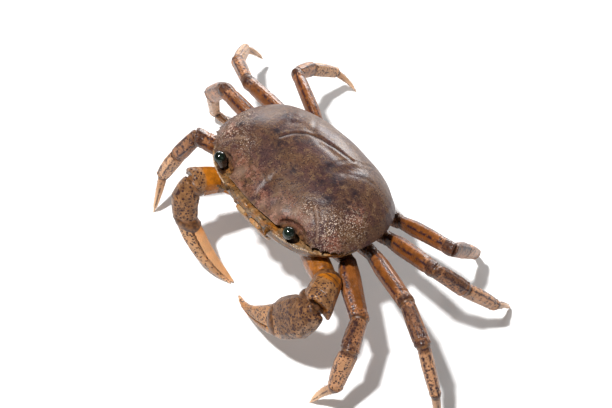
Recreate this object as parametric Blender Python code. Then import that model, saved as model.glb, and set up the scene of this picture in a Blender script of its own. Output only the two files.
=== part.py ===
"""Ricefield crab standing on its legs, life size, in metres, facing -Y with its left side to +X."""

import math

import bmesh
import bpy
import numpy as np
from mathutils import Matrix, Vector

MM = 0.001

# Driving dimensions of the shell, in its own frame: z = 0 is the side margin.
SHELL_WIDTH = 50.0 * MM
SHELL_LENGTH = 37.0 * MM
SHELL_RISE = 9.0 * MM
SHELL_EDGE = 1.2 * MM
WIDEST_Y = -2.0 * MM
FRONT_HALF = 9.5 * MM
FRONT_LIFT = 0.6 * MM
REAR_DROP = 4.0 * MM
MARGIN_HEIGHT = 27.5 * MM
NOSE_UP = math.radians(10.5)
GAP = 0.3 * MM
# How square the outline is: the shell's front part, the face below it, and the rear of both.
SHELL_POWER = 2.3
FACE_POWER = 2.55
REAR_POWER = 2.15
# The front of the shell lies this far behind the face; then how the two ends are flattened.
FRONT_SETBACK = 1.3 * MM
FRONT_CURVE = 0.8 * MM
REAR_FLATTENING = 0.6 * MM
# The top of the dome lies this far behind the middle of the outline.
DOME_BACKSET = 1.5 * MM
# Dome: power of its fall towards the edge and roundness of its shoulder, with their change at front and rear.
DOME_FALL = (2.7, -0.7, 0.1)
DOME_SHOULDER = (0.72, 0.28, -0.05)
# Grooves of the back: depth, place and width of the side furrows, the cross furrow and the front furrow.
GROOVE_DEPTH = 0.45 * MM
SIDE_FURROW = ((8.5 * MM, 2.0 * MM), (1.3 * MM, 5.0 * MM))
CROSS_FURROW = (3.5 * MM, (7.5 * MM, 1.1 * MM))
FRONT_FURROW = (-13.0 * MM, (0.9 * MM, 2.5 * MM))

# The trunk under the shell.
TRUNK_DEPTH = 12.5 * MM
TRUNK_INSET = 0.955
FACE_INSET = 0.965
TRUNK_FOOT = 0.55
TRUNK_FRONT_FOOT = 0.19
# Power of the trunk's rounding below, and share of the depth at which its flat breast begins.
TRUNK_POWER = 3.2
BREAST_START = 0.75

# Eyes and the orbits that hold them.
# The two eyes look to the crab's right, so they stand in different parts of their orbits.
EYE_PLACES = {"left": (13.1, -16.2, 1.55), "right": (-14.3, -15.2, 1.6)}
EYE_RADIUS = 1.5 * MM
STALK_RADIUS = 0.8 * MM
STALK_LEANS = {"left": (-0.9, 0.6, -1.9), "right": (1.3, 0.2, -1.9)}
ORBIT_PLACE = (13.4, -15.6, 1.15)
ORBIT_RADII = (4.6, 3.0, 2.4)

# Teeth along the front part of each side margin: x, y, length.
MARGIN_TEETH = ((18.3, -13.5, 0.8), (20.2, -12.1, 1.0), (21.8, -10.6, 0.8),
                (22.9, -9.2, 0.8), (23.7, -7.8, 0.7))
TOOTH_BASE = 0.55 * MM

# Legs: length of merus, carpus, propodus and dactyl for each pair, front to rear.
LEG_LENGTHS = {
    1: (16.0, 8.5, 10.0, 12.0),
    2: (19.5, 11.0, 12.6, 13.0),
    3: (18.5, 9.8, 12.5, 12.4),
    4: (17.5, 8.8, 10.8, 10.5),
}
# Half height and half thickness of the same four segments at their widest.
LEG_SIZES = {
    1: ((3.0, 2.5), (2.25, 2.05), (2.3, 1.9), (1.35, 1.15)),
    2: ((3.0, 2.2), (2.3, 2.0), (2.05, 1.65), (1.2, 1.05)),
    3: ((2.8, 2.0), (2.2, 1.8), (1.9, 1.5), (1.05, 0.95)),
    4: ((2.5, 1.8), (2.0, 1.6), (1.8, 1.4), (0.95, 0.85)),
}
# Pose of each leg: root in the shell's frame, then heading and pitch of the four segments.
# Heading 0 points forward, 90 to the crab's left. None lets the tip come down to the floor.
LEG_POSES = {
    "left_1": ((20.9, -3.3, -8.1), (61, 35, 15, -60), (-5, -1, -55, None)),
    "left_2": ((22.8, 3.0, -8.0), (74, 68, 77, 93), (15, -4, -56, None)),
    "left_3": ((21.5, 9.2, -7.6), (86, 135, 153, 191), (23, -42, -48, None)),
    "left_4": ((19.0, 15.0, -7.2), (95, 192, 197, 237), (18, -50, -53, None)),
    "right_1": ((-15.6, -2.2, -8.8), (-49, -44, -41, 8), (29, -56, -62, None)),
    "right_2": ((-16.8, 5.6, -6.8), (-84, -97, -128, 102), (15, -51, -71, None)),
    "right_3": ((-17.5, 13.0, -6.4), (-82, -112, -137, -166), (15, -16, -32, -55)),
    "right_4": ((-14.8, 17.8, -6.3), (-109, -159, -181, -208), (9, -35, -40, None)),
}
TWIST = {1: 40, 2: 20, 3: 10, 4: 10}

# Claw arms: root, lengths, headings, pitches, and half height and thickness of merus and carpus.
CLAW_POSES = {
    "left": ((11.7, -7.3, -10.0), (13.6, 8.6, 12.6, 18.2), (71, 33, -64, -87), (14, 12, -45, -32)),
    "right": ((-10.0, -5.6, -11.6), (9.9, 7.0, 10.0, 20.4), (-41, -18, 24, 100), (25, 19, -66, None)),
}
CLAW_ARM_SIZES = {"left": ((3.9, 3.0), (4.2, 3.8)), "right": ((3.3, 2.6), (3.6, 3.3))}
# Hands: half height, half thickness, and which way the hinge side of the hand looks.
CLAW_HANDS = {"left": (5.3, 3.5, (-0.58, 0.53, 0.60)), "right": (3.45, 2.9, (-0.74, -0.65, 0.13))}
# Where the middle line of palm and closed fingers runs: share of the length, offset to the hinge side.
PALM_LINES = {
    "left": ((0.0, 0.0), (0.5, -1.0), (1.0, -0.9)),
    "right": ((0.0, 0.0), (0.5, 1.0), (1.0, 0.3)),
}
FINGER_LINES = {
    "left": ((0.0, -1.3), (0.35, -1.9), (0.68, -2.0), (0.88, -1.2), (1.0, 0.0)),
    "right": ((0.0, 0.1), (0.3, 1.1), (0.54, 1.5), (0.8, 1.0), (1.0, 0.0)),
}
# Half height of both closed fingers together along their length, and their half thickness.
FINGER_HALVES = {
    "left": ((0.0, 4.3), (0.2, 3.6), (0.42, 2.6), (0.6, 1.7), (0.76, 1.05), (1.0, 0.6)),
    "right": ((0.0, 3.0), (0.3, 2.75), (0.54, 2.4), (0.8, 1.7), (0.93, 1.1), (1.0, 0.65)),
}
FINGER_THICKNESS = {
    "left": ((0.0, 2.7), (0.35, 2.3), (0.7, 1.4), (1.0, 0.55)),
    "right": ((0.0, 2.2), (0.35, 1.9), (0.7, 1.3), (1.0, 0.55)),
}
# Place of the seam between the fingers, as a share of that half height, at the palm and at the tip.
FINGER_SEAMS = {"left": (-0.45, -0.25), "right": (-0.35, -0.05)}
FINGER_RINGS = 9
# A finger stays at least this high beside the seam.
FINGER_LEAST = 0.35 * MM
# How far the hinged finger's base stands off the palm's end wall, in gaps.
HINGE_GAPS = 1.5
# Spike at the hinge corner of the left palm: reach back and forward, radius at root and tip.
SPIKE_REACH = (1.0 * MM, 1.4 * MM)
SPIKE_RADII = (0.5 * MM, 0.12 * MM)
SPIKE_INSET = 1.25 * MM
# Inner edge of the claw arm: shares of the length, height and root radius of its spines.
ARM_SPINES = {
    "merus": ((0.35, 0.5, 0.65, 0.8), 0.35 * MM, 0.5 * MM),
    "carpus": ((0.42,), 1.0 * MM, 0.9 * MM),
}
SPINE_ROOT = 0.55
SPINE_TIP = 0.1 * MM
ARM_BOW = 0.3 * MM
ARM_KEEL = 0.05
# Root of a claw: where its coxa starts, as shares of the arm's own root, with a lift, and how thick it is.
CLAW_COXA_START = (0.55, 0.75)
CLAW_COXA_LIFT = 0.6
CLAW_COXA_SHARE = (0.85, 0.9)
# Bow and keel of a walking leg's four segments.
LEG_BOWS = (0.5, 0.2, 0.25, 0.5)
LEG_KEELS = (0.08, 0.05, 0.05, 0.0)
TIP_LIFT = 0.40 * MM
# Furthest that the outer corner of a bent joint reaches past the joint.
JOINT_CORNER = 1.1 * MM
COXA_REACH = 0.64
COXA_DROP = 0.6
ROOT_SPREAD = {1: 0.95, 2: 1.0, 3: 0.85, 4: 0.88}
COXA_SIZE = (2.5, 2.05)
LEG_SIDES = 10
CLAW_SIDES = 12
COXA_PROFILE = ((0.0, 0.9, 0.9), (0.15, 1.0, 1.0), (0.6, 0.92, 0.92), (0.9, 0.86, 0.86), (1.0, 0.72, 0.74))
# Profiles of the long segments: share of the length, share of the half height and of the half thickness.
MERUS_PROFILE = ((0.0, 0.62, 0.70), (0.05, 0.80, 0.84), (0.30, 1.0, 1.0), (0.60, 0.96, 0.98),
                 (0.88, 0.80, 0.92), (0.97, 0.78, 0.90), (1.0, 0.70, 0.80))
CARPUS_PROFILE = ((0.0, 0.76, 0.78), (0.06, 0.90, 0.90), (0.40, 0.96, 0.96), (0.75, 1.0, 1.0),
                  (0.95, 0.98, 0.98), (1.0, 0.86, 0.88))
PROPODUS_PROFILE = ((0.0, 0.84, 0.84), (0.07, 0.96, 0.96), (0.35, 1.0, 1.0), (0.70, 0.90, 0.92),
                    (0.95, 0.80, 0.84), (1.0, 0.70, 0.74))
DACTYL_PROFILE = ((0.0, 0.92, 0.92), (0.06, 1.0, 1.0), (0.30, 0.90, 0.88), (0.60, 0.66, 0.62),
                  (0.88, 0.42, 0.42), (1.0, 0.30, 0.30))
PALM_PROFILE = ((0.0, 0.54, 0.68), (0.05, 0.66, 0.78), (0.22, 0.86, 0.93), (0.5, 1.0, 1.0),
                (0.8, 0.97, 0.93), (1.0, 0.89, 0.82))
PROFILES = (MERUS_PROFILE, CARPUS_PROFILE, PROPODUS_PROFILE, DACTYL_PROFILE)
NAMES = ("merus", "carpus", "propodus", "dactyl")
# Outer mouth legs: top and foot (y, z).
MOUTH_TOP = (-17.2, -4.2)
MOUTH_FOOT = (-12.2, -11.6)
# Share of the way down, half width and half thickness of an outer mouth leg.
MOUTH_PROFILE = ((0.0, 1.4, 0.5), (0.06, 1.95, 0.75), (0.45, 2.3, 0.9), (0.62, 2.1, 0.85),
                 (0.68, 2.15, 0.9), (0.92, 2.0, 0.8), (1.0, 1.3, 0.5))
# Distance along the body, half width and height above the breast of the tail flap.
TAIL_PROFILE = ((15.2, 4.6, 4.2), (14.2, 5.2, 3.0), (9.5, 5.4, 0.4), (6.5, 4.6, 0.0), (3.5, 2.6, 0.0),
                (0.5, 2.2, 0.0), (-3.6, 2.0, 0.3), (-5.6, 1.3, 0.7), (-6.4, 0.6, 0.9))
# Feeler beside the front: its route and radii.
FEELER_ROUTE = ((7.6, -17.4, -1.7), (7.9, -18.2, -1.5), (8.4, -19.0, -1.2), (9.1, -19.7, -0.8))
FEELER_RADII = (0.62 * MM, 0.52 * MM, 0.34 * MM, 0.25 * MM)
FEELER_SOCKET = ((7.7, -18.1, -1.6), (1.3, 1.2, 1.2))
# Hollows in the trunk round a limb's root: radius at the two ends, as shares of the limb's own.
LEG_ROOT = 4.0 * MM
CLAW_ROOT = 4.6 * MM
COXA_HOLLOW = (0.72, 0.82)
MERUS_HOLLOW = (0.88, 1.12)
# Way that the margin teeth point, how deep they start and how fat they are.
TOOTH_WAY = (0.62, -0.78, 0.10)
TOOTH_DEPTH = 1.3 * MM
TOOTH_LEVEL = -0.25
TOOTH_FATNESS = 0.18
SHARP_ANGLE = math.radians(40)
TAIL_THICKNESS = 0.7 * MM


def mm(values):
    return Vector([value * MM for value in values])


def direction(heading, pitch):
    """Unit vector of a segment: heading from straight ahead towards the left, pitch up from level."""
    h = math.radians(heading)
    p = math.radians(pitch)
    return Vector((math.sin(h) * math.cos(p), -math.cos(h) * math.cos(p), math.sin(p)))


def smooth_step(low, high, value):
    t = min(max((value - low) / (high - low), 0.0), 1.0)
    return t * t * (3.0 - 2.0 * t)


def new_collection(name):
    found = bpy.data.collections.new(name)
    bpy.context.scene.collection.children.link(found)
    return found


def material(name, colour, roughness):
    made = bpy.data.materials.new(name)
    made.use_nodes = True
    shader = made.node_tree.nodes["Principled BSDF"]
    shader.inputs["Base Color"].default_value = (*colour, 1.0)
    shader.inputs["Roughness"].default_value = roughness
    shader.inputs["Metallic"].default_value = 0.0
    made.diffuse_color = (*colour, 1.0)
    return made


def add_object(name, mesh_data, collection, matrix, parent, look):
    """A named object of the model, placed under its parent, with its own material."""
    made = bpy.data.objects.new(name, mesh_data)
    collection.objects.link(made)
    made.parent = parent
    made.matrix_local = matrix
    if look:
        made.data.materials.append(material(name + "_look", *look))
    made.data.shade_smooth()
    made.data.set_sharp_from_angle(angle=SHARP_ANGLE)
    return made


def mesh_from(name, build):
    """Mesh made by a function that fills a bmesh."""
    bm = bmesh.new()
    build(bm)
    bmesh.ops.recalc_face_normals(bm, faces=bm.faces)
    data = bpy.data.meshes.new(name)
    bm.to_mesh(data)
    bm.free()
    return data


def loft(bm, rings):
    """Joins rings of equal point counts into one closed tube with a cap at each end."""
    rows = [[bm.verts.new(point) for point in ring] for ring in rings]
    count = len(rows[0])
    for row, following in zip(rows, rows[1:]):
        for i in range(count):
            j = (i + 1) % count
            bm.faces.new((row[i], row[j], following[j], following[i]))
    bm.faces.new(rows[0][::-1])
    bm.faces.new(rows[-1])


def evaluated_mesh(owner):
    graph = bpy.context.evaluated_depsgraph_get()
    return bpy.data.meshes.new_from_object(owner.evaluated_get(graph))


def keep_largest(data):
    """Drops every closed surface but the largest from a mesh."""
    bm = bmesh.new()
    bm.from_mesh(data)
    left = set(bm.verts)
    islands = []
    while left:
        stack = [left.pop()]
        island = set(stack)
        while stack:
            for edge in stack.pop().link_edges:
                for vert in edge.verts:
                    if vert in left:
                        left.discard(vert)
                        island.add(vert)
                        stack.append(vert)
        islands.append(island)
    largest = max(islands, key=len)
    bmesh.ops.delete(bm, geom=[v for v in bm.verts if v not in largest], context="VERTS")
    bm.to_mesh(data)
    bm.free()


def apply_boolean(target, operation, pieces):
    """One Boolean of a whole set of closed meshes, applied, with the set removed afterwards."""
    tools = new_collection("tools_of_" + target.name)
    for piece in pieces:
        tools.objects.link(piece)
        piece.hide_render = True
        piece.display_type = "WIRE"
    boolean = target.modifiers.new("pieces", "BOOLEAN")
    boolean.operation = operation
    boolean.operand_type = "COLLECTION"
    boolean.collection = tools
    boolean.solver = "EXACT"
    bpy.context.view_layer.update()
    result = evaluated_mesh(target)
    target.modifiers.clear()
    keep_largest(result)
    result.shade_smooth()
    result.set_sharp_from_angle(angle=SHARP_ANGLE)
    target.data = result
    for piece in pieces:
        bpy.data.objects.remove(piece)
    bpy.data.collections.remove(tools)


def tool_cone(base, tip, radius, end_radius=0.0, sides=6):
    """Closed cone between two points in world space, as a loose object for a Boolean."""
    axis = tip - base
    data = mesh_from("cone", lambda bm: bmesh.ops.create_cone(
        bm, cap_ends=True, segments=sides, radius1=radius, radius2=end_radius, depth=axis.length))
    made = bpy.data.objects.new("cone", data)
    turn = axis.to_track_quat("Z", "Y").to_matrix().to_4x4()
    made.matrix_world = Matrix.Translation((base + tip) / 2) @ turn
    return made


def tool_ellipsoid(centre, radii, matrix, segments=20, rings=12):
    data = mesh_from("ball", lambda bm: bmesh.ops.create_uvsphere(
        bm, u_segments=segments, v_segments=rings, radius=1.0))
    made = bpy.data.objects.new("ball", data)
    made.matrix_world = matrix @ Matrix.Translation(centre) @ Matrix.Diagonal((*radii, 1.0))
    return made


def body_outline(angle, setback, power):
    """Edge point of the body seen from above; angle 0 is the left, 90 degrees the rear."""
    c = math.cos(angle)
    s = math.sin(angle)
    if s < 0:
        reach = SHELL_LENGTH / 2 + WIDEST_Y - setback
    else:
        reach = SHELL_LENGTH / 2 - WIDEST_Y
        power = REAR_POWER
    half = SHELL_WIDTH / 2
    size = (abs(c / half) ** power + abs(s / reach) ** power) ** (-1.0 / power)
    x = size * c
    y = WIDEST_Y + size * s
    flat_front = smooth_step(-0.80, -0.97, s)
    front_edge = setback - SHELL_LENGTH / 2 + FRONT_CURVE * (abs(x) / FRONT_HALF) ** 2
    y = y + (max(y, front_edge) - y) * flat_front
    rear_flat = smooth_step(0.85, 0.99, s)
    return x, y - rear_flat * REAR_FLATTENING


def margin_level(angle):
    """Height of the shell's edge: a little up at the front, down at the rear."""
    s = math.sin(angle)
    lift = FRONT_LIFT * smooth_step(0.5, 1.0, -s)
    drop = REAR_DROP * smooth_step(0.35, 1.0, s)
    return lift - drop


def shell_top(angle, reach):
    """Height of the shell above its margin frame at a share of the way to the edge."""
    s = math.sin(angle)
    front = smooth_step(0.2, 1.0, -s)
    rear = smooth_step(0.2, 1.0, s)
    fall = DOME_FALL[0] + DOME_FALL[1] * front + DOME_FALL[2] * rear
    shoulder = DOME_SHOULDER[0] + DOME_SHOULDER[1] * front + DOME_SHOULDER[2] * rear
    dome = SHELL_RISE * max(1.0 - reach ** fall, 0.0) ** shoulder
    return dome + margin_level(angle) * reach ** 2


def shell_dip(x, y):
    """Shallow grooves of the back: the H shaped mark and the furrow behind the front."""
    (aside, behind), (width, length) = SIDE_FURROW
    lean = 0.25 * (y + MM)
    side_furrow = math.exp(-((abs(x) - aside - lean) / width) ** 2) * math.exp(-((y - behind) / length) ** 2)
    behind, (length, width) = CROSS_FURROW
    cross = math.exp(-((y - behind) / width) ** 2) * math.exp(-(x / length) ** 4)
    behind, (width, length) = FRONT_FURROW
    front_furrow = math.exp(-(x / width) ** 2) * math.exp(-((y - behind) / length) ** 2)
    return GROOVE_DEPTH * (side_furrow + 0.7 * cross + 1.1 * front_furrow)


def shape_disc(bm, segments, rings, surface):
    """Turns a ball into a flat body: surface gives the place for an angle, a reach and a side."""
    bmesh.ops.create_uvsphere(bm, u_segments=segments, v_segments=rings, radius=1.0)
    for vert in bm.verts:
        angle = math.atan2(vert.co.y, vert.co.x)
        flat = min(math.hypot(vert.co.x, vert.co.y), 1.0)
        reach = math.asin(flat) / (math.pi / 2)
        vert.co = surface(angle, reach, vert.co.z)


def shell_surface(angle, reach, side):
    x_edge, y_edge = body_outline(angle, FRONT_SETBACK, SHELL_POWER)
    x = x_edge * reach
    y = y_edge * reach + DOME_BACKSET * (1.0 - reach)
    if side >= -1e-6:
        z = shell_top(angle, reach) - shell_dip(x, y) * (1.0 - reach ** 6)
        if reach > 0.999:
            z = margin_level(angle)
    else:
        z = margin_level(angle) * reach - SHELL_EDGE * min(1.0, 6.0 * (1.0 - reach) + 0.35)
    return Vector((x, y, z))


def trunk_surface(angle, reach, side):
    """Body under the shell: near its outline at the top, narrow and flat at the breast."""
    s = math.sin(angle)
    x_edge, y_edge = body_outline(angle, 0.0, FACE_POWER)
    front = smooth_step(0.3, 1.0, -s)
    widest = TRUNK_INSET + (FACE_INSET - TRUNK_INSET) * front
    top_level = margin_level(angle) * reach - SHELL_EDGE - GAP
    if side >= -1e-6:
        inset = widest * reach
        return Vector((x_edge * inset, y_edge * inset + DOME_BACKSET * (1 - inset), top_level))
    depth = 1.0 - reach ** TRUNK_POWER
    foot = TRUNK_FOOT + TRUNK_FRONT_FOOT * front
    shrink = widest - (widest - foot) * smooth_step(0.0, 0.9, depth)
    breast = foot * (reach / (1.0 - BREAST_START) ** (1 / TRUNK_POWER))
    spread = shrink if depth < BREAST_START else breast
    z = top_level - (TRUNK_DEPTH - SHELL_EDGE - GAP) * depth ** 0.8
    return Vector((x_edge * spread, y_edge * spread + DOME_BACKSET * (1 - spread), z))


def section(centre, up, side, half_up, half_side, count, keel=0.0, square=2.3, turn=0.0):
    """Ring of points round a centre: a rounded oval with a keel on the upper side."""
    ring = []
    for i in range(count):
        angle = 2 * math.pi * (i + turn) / count
        c = math.cos(angle)
        s = math.sin(angle)
        size = (abs(c) ** square + abs(s) ** square) ** (-1.0 / square)
        crest = 1.0 + keel * max(c, 0.0) ** 6
        ring.append(centre + up * (half_up * size * c * crest) + side * (half_side * size * s))
    return ring


def part_section(centre, up, side, half_up, half_side, level, above, count):
    """Ring round the part of an oval that lies above or below a level."""
    turn = math.acos(max(min(level / half_up, 1.0), -1.0))
    first = -turn if above else turn
    last = turn if above else 2 * math.pi - turn
    ring = []
    for i in range(count):
        angle = first + (last - first) * i / (count - 1)
        ring.append(centre + up * (half_up * math.cos(angle)) + side * (half_side * math.sin(angle)))
    return ring


def along_plane(point, axis, place, normal):
    """Distance along an axis from a point to a plane."""
    return (place - point).dot(normal) / axis.dot(normal)


def segment_rings(start, end, start_normal, end_normal, up, side, profile, size, count,
                  keel=0.0, bow=0.0, turn=0.0):
    """Rings of a limb segment between two slanting joint planes, each half a gap short of its joint."""
    axis = (end - start).normalized()
    rings = []
    for share, upward, sideways in profile:
        bend = up * (bow * math.sin(math.pi * share))
        ring = section(Vector(), up, side, size[0] * upward, size[1] * sideways, count, keel, turn=turn)
        points = []
        for offset in ring:
            first = along_plane(start + offset, axis, start + start_normal * (GAP / 2), start_normal)
            last = along_plane(start + offset, axis, end - end_normal * (GAP / 2), end_normal)
            first = max(first, -JOINT_CORNER)
            last = min(last, (end - start).length + JOINT_CORNER)
            points.append(start + offset + bend + axis * (first + (last - first) * share))
        rings.append(points)
    return rings


def section_axes(heading, axis, twist):
    """Upper and side directions of a segment's section, turned about the segment by a twist."""
    level = math.radians(heading)
    side = Vector((math.cos(level), math.sin(level), 0.0))
    up = side.cross(axis).normalized()
    if up.z < 0:
        up.negate()
    turn = Matrix.Rotation(math.radians(twist), 3, axis)
    return turn @ up, turn @ side


def chain_points(root, lengths, headings, pitches):
    """Joint places of a limb; a pitch of None brings the last tip down to the floor."""
    points = [root]
    for length, heading, pitch in zip(lengths, headings, pitches):
        if pitch is None:
            pitch = -math.degrees(math.asin(min(points[-1].z / (length * MM), 0.995)))
        points.append(points[-1] + direction(heading, pitch) * (length * MM))
    return points


def joint_normals(points):
    """Plane normals at the joints: the bisector between neighbours, and the axis at a free end."""
    axes = [(b - a).normalized() for a, b in zip(points, points[1:])]
    inner = [(a + b).normalized() for a, b in zip(axes, axes[1:])]
    return axes, [axes[0], *inner, axes[-1]]


def add_limb_segment(name, rings, model, root, look):
    """Segment as an object with its origin at the middle of its first ring."""
    origin = sum(rings[0], Vector()) / len(rings[0])
    data = mesh_from(name, lambda bm: loft(bm, [[point - origin for point in ring] for ring in rings]))
    return add_object(name, data, model, Matrix.Translation(origin), root, look)


def add_coxa(name, inner, outer, normal, radii, model, root, look):
    """Short root of a limb between the trunk and its first long segment."""
    axis = (outer - inner).normalized()
    up, side = section_axes(math.degrees(math.atan2(axis.x, -axis.y)), axis, 0)
    rings = segment_rings(inner, outer, axis, normal, up, side, COXA_PROFILE, radii, LEG_SIDES)
    return add_limb_segment(name, rings, model, root, look)


def add_leg(name, body, model, root, look):
    number = int(name[-1])
    place, headings, pitches = LEG_POSES[name]
    lengths = LEG_LENGTHS[number]
    start = body @ mm(place)
    points = chain_points(start, lengths, headings, pitches)
    axes, normals = joint_normals(points)
    inner = body @ mm((place[0] * COXA_REACH, place[1] * ROOT_SPREAD[number], place[2] - COXA_DROP))
    coxa_axis = (start - inner).normalized()
    normals[0] = (coxa_axis + axes[0]).normalized()
    if pitches[-1] is None:
        normals[-1] = Vector((0.0, 0.0, -1.0))
        points[-1].z = -GAP / 2
    add_coxa("coxa_" + name, inner, start, normals[0], mm(COXA_SIZE), model, root, look)
    for i, part_name in enumerate(NAMES):
        size = [value * MM for value in LEG_SIZES[number][i]]
        up, side = section_axes(headings[i], axes[i], TWIST[number] * (1 if "left" in name else -1))
        rings = segment_rings(points[i], points[i + 1], normals[i], normals[i + 1], up, side,
                              PROFILES[i], size, LEG_SIDES, LEG_KEELS[i], LEG_BOWS[i] * MM)
        add_limb_segment(f"{part_name}_{name}", rings, model, root, look)
    return inner, start, points[1]


def feeler_rings(path, radii, up_ref, normal, count):
    """Round rings along a bent path, each square to it."""
    rings = []
    for i, (place, radius) in enumerate(zip(path, radii)):
        ahead = path[min(i + 1, len(path) - 1)] - path[max(i - 1, 0)]
        up = normal.cross(ahead).normalized()
        if up.dot(up_ref) < 0:
            up.negate()
        rings.append(section(place, up, normal, radius, radius, count, 0.0, 2.2))
    return rings


def along_line(line, shares):
    """Values of a line of (share, value) pairs at the given shares."""
    return np.interp(shares, [pair[0] for pair in line], [pair[1] for pair in line])


def arm_spines(part_name, start, end, inward, size):
    """Row of low tubercles on the inner edge of the merus, or the one strong spine of the carpus."""
    radius = 0.5 * (size[0] + size[1])
    shares, height, width = ARM_SPINES[part_name]
    spines = []
    for share in shares:
        place = start.lerp(end, share)
        root = place + inward * (radius * SPINE_ROOT)
        spines.append(tool_cone(root, place + inward * (radius + height), width, SPINE_TIP))
    return spines


def add_claw(side_name, body, model, root, look):
    place, lengths, headings, pitches = CLAW_POSES[side_name]
    start = body @ mm(place)
    points = chain_points(start, lengths, headings, pitches)
    axes, normals = joint_normals(points)
    reach, advance = CLAW_COXA_START
    inner = body @ mm((place[0] * reach, place[1] * advance, place[2] + CLAW_COXA_LIFT))
    normals[0] = ((start - inner).normalized() + axes[0]).normalized()
    merus, carpus = [[value * MM for value in pair] for pair in CLAW_ARM_SIZES[side_name]]
    coxa = [size * share for size, share in zip(merus, CLAW_COXA_SHARE)]
    add_coxa("coxa_claw_" + side_name, inner, start, normals[0], coxa, model, root, look)
    hand_way = (points[3] - points[2]).normalized()
    for i, size in enumerate((merus, carpus)):
        up, side = section_axes(headings[i], axes[i], 0)
        rings = segment_rings(points[i], points[i + 1], normals[i], normals[i + 1], up, side,
                              PROFILES[i], size, CLAW_SIDES, ARM_KEEL, ARM_BOW)
        arm = add_limb_segment(f"{NAMES[i]}_claw_{side_name}", rings, model, root, look)
        inward = (hand_way - axes[i] * hand_way.dot(axes[i])).normalized()
        apply_boolean(arm, "UNION", arm_spines(NAMES[i], points[i], points[i + 1], inward, size))
    add_hand(side_name, points[2:], normals[2], model, root, look)
    return inner, start, points[1]


def hand_axes(side_name, points):
    """Axis of the palm, its hinge side, its flat side, and the hinge side at the finger tips."""
    wrist, hinge, tip = points
    axis = (hinge - wrist).normalized()
    hinge_side = Vector(CLAW_HANDS[side_name][2])
    hinge_side = (hinge_side - axis * hinge_side.dot(axis)).normalized()
    normal = axis.cross(hinge_side).normalized()
    tip_side = normal.cross((tip - hinge).normalized()).normalized()
    if tip_side.dot(hinge_side) < 0:
        tip_side.negate()
    return axis, hinge_side, normal, tip_side


def palm_rings(side_name, points, wrist_normal, tall, thick):
    axis, hinge_side, normal, tip_side = hand_axes(side_name, points)
    rings = segment_rings(points[0], points[1], wrist_normal, axis, hinge_side, normal, PALM_PROFILE,
                          (tall, thick), CLAW_SIDES, turn=0.5)
    shifts = along_line(PALM_LINES[side_name], [row[0] for row in PALM_PROFILE])
    return [[point + hinge_side * (shift * MM) for point in ring] for ring, shift in zip(rings, shifts)]


def closed_finger_rings(side_name, points):
    """Rings of the fixed and the hinged finger: one oval beside the palm's end, split along the seam."""
    wrist, hinge, tip = points
    axis, hinge_side, normal, tip_side = hand_axes(side_name, points)
    shares = np.linspace(0, 1, FINGER_RINGS)
    offsets = along_line(FINGER_LINES[side_name], shares) * MM
    halves = along_line(FINGER_HALVES[side_name], shares) * MM
    thicknesses = along_line(FINGER_THICKNESS[side_name], shares) * MM
    seams = np.interp(shares, (0, 1), FINGER_SEAMS[side_name]) * halves
    fixed = []
    hinged = []
    for t, offset, half, seam, thickness in zip(shares, offsets, halves, seams, thicknesses):
        up = hinge_side.lerp(tip_side, smooth_step(0.0, 0.4, t)).normalized()
        middle = hinge.lerp(tip, t) + up * offset
        seam = min(max(seam, FINGER_LEAST - half), half - FINGER_LEAST)
        off_wall = axis * (GAP * (1 - t))
        fixed.append(part_section(middle + off_wall * 0.5, up, normal, half, thickness,
                                  seam - GAP / 2, False, CLAW_SIDES))
        hinged.append(part_section(middle + off_wall * HINGE_GAPS, up, normal, half, thickness,
                                   seam + GAP / 2, True, CLAW_SIDES))
    return fixed, hinged


def add_hand(side_name, points, wrist_normal, model, root, look):
    """Palm with its fixed finger, and the hinged finger, closed, on the palm's hinge side."""
    tall, thick = [value * MM for value in CLAW_HANDS[side_name][:2]]
    on_floor = points[2].z < MM
    if on_floor:
        points = [*points[:2], points[2] + Vector((0.0, 0.0, TIP_LIFT))]
    fixed, hinged = closed_finger_rings(side_name, points)
    if on_floor:
        flatten_tip(fixed[-2:])
        flatten_tip(hinged[-2:])
    rings = palm_rings(side_name, points, wrist_normal, tall, thick) + fixed
    palm = add_limb_segment("palm_claw_" + side_name, rings, model, root, look)
    add_limb_segment("dactyl_claw_" + side_name, hinged, model, root, look)
    if side_name == "left":
        axis, hinge_side, normal, tip_side = hand_axes(side_name, points)
        corner = points[1] + hinge_side * (tall * PALM_PROFILE[-1][1] - SPIKE_INSET)
        spike = tool_cone(corner - axis * SPIKE_REACH[0], corner + axis * SPIKE_REACH[1], *SPIKE_RADII, 8)
        apply_boolean(palm, "UNION", [spike])


def flatten_tip(rings):
    """Presses the lowest points of a tip onto the floor."""
    for ring in rings:
        for point in ring:
            point.z = max(point.z, 0.0)


def add_eye(side_name, body, model, root, look):
    """Ball on a short stalk that stands in the orbit a gap off its wall."""
    name = "eye_" + side_name
    centre = mm(EYE_PLACES[side_name])
    foot = centre + mm(STALK_LEANS[side_name])
    data = mesh_from(name, lambda bm: bmesh.ops.create_uvsphere(
        bm, u_segments=14, v_segments=9, radius=EYE_RADIUS))
    eye = add_object(name, data, model, Matrix.Translation(body @ centre), root, look)
    stalk = tool_cone(body @ foot, body @ centre, STALK_RADIUS * 1.1, STALK_RADIUS, 10)
    apply_boolean(eye, "UNION", [stalk])


def add_feeler(side, body, model, root, look):
    """Short feeler from the inner corner of the orbit."""
    name = "antenna_left" if side > 0 else "antenna_right"
    places = [body @ mm((side * x, y, z)) for x, y, z in FEELER_ROUTE]
    rings = feeler_rings(places, FEELER_RADII, Vector((0, 0, 1)), Vector((1, 0, 0)), 8)
    add_limb_segment(name, rings, model, root, look)


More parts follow.
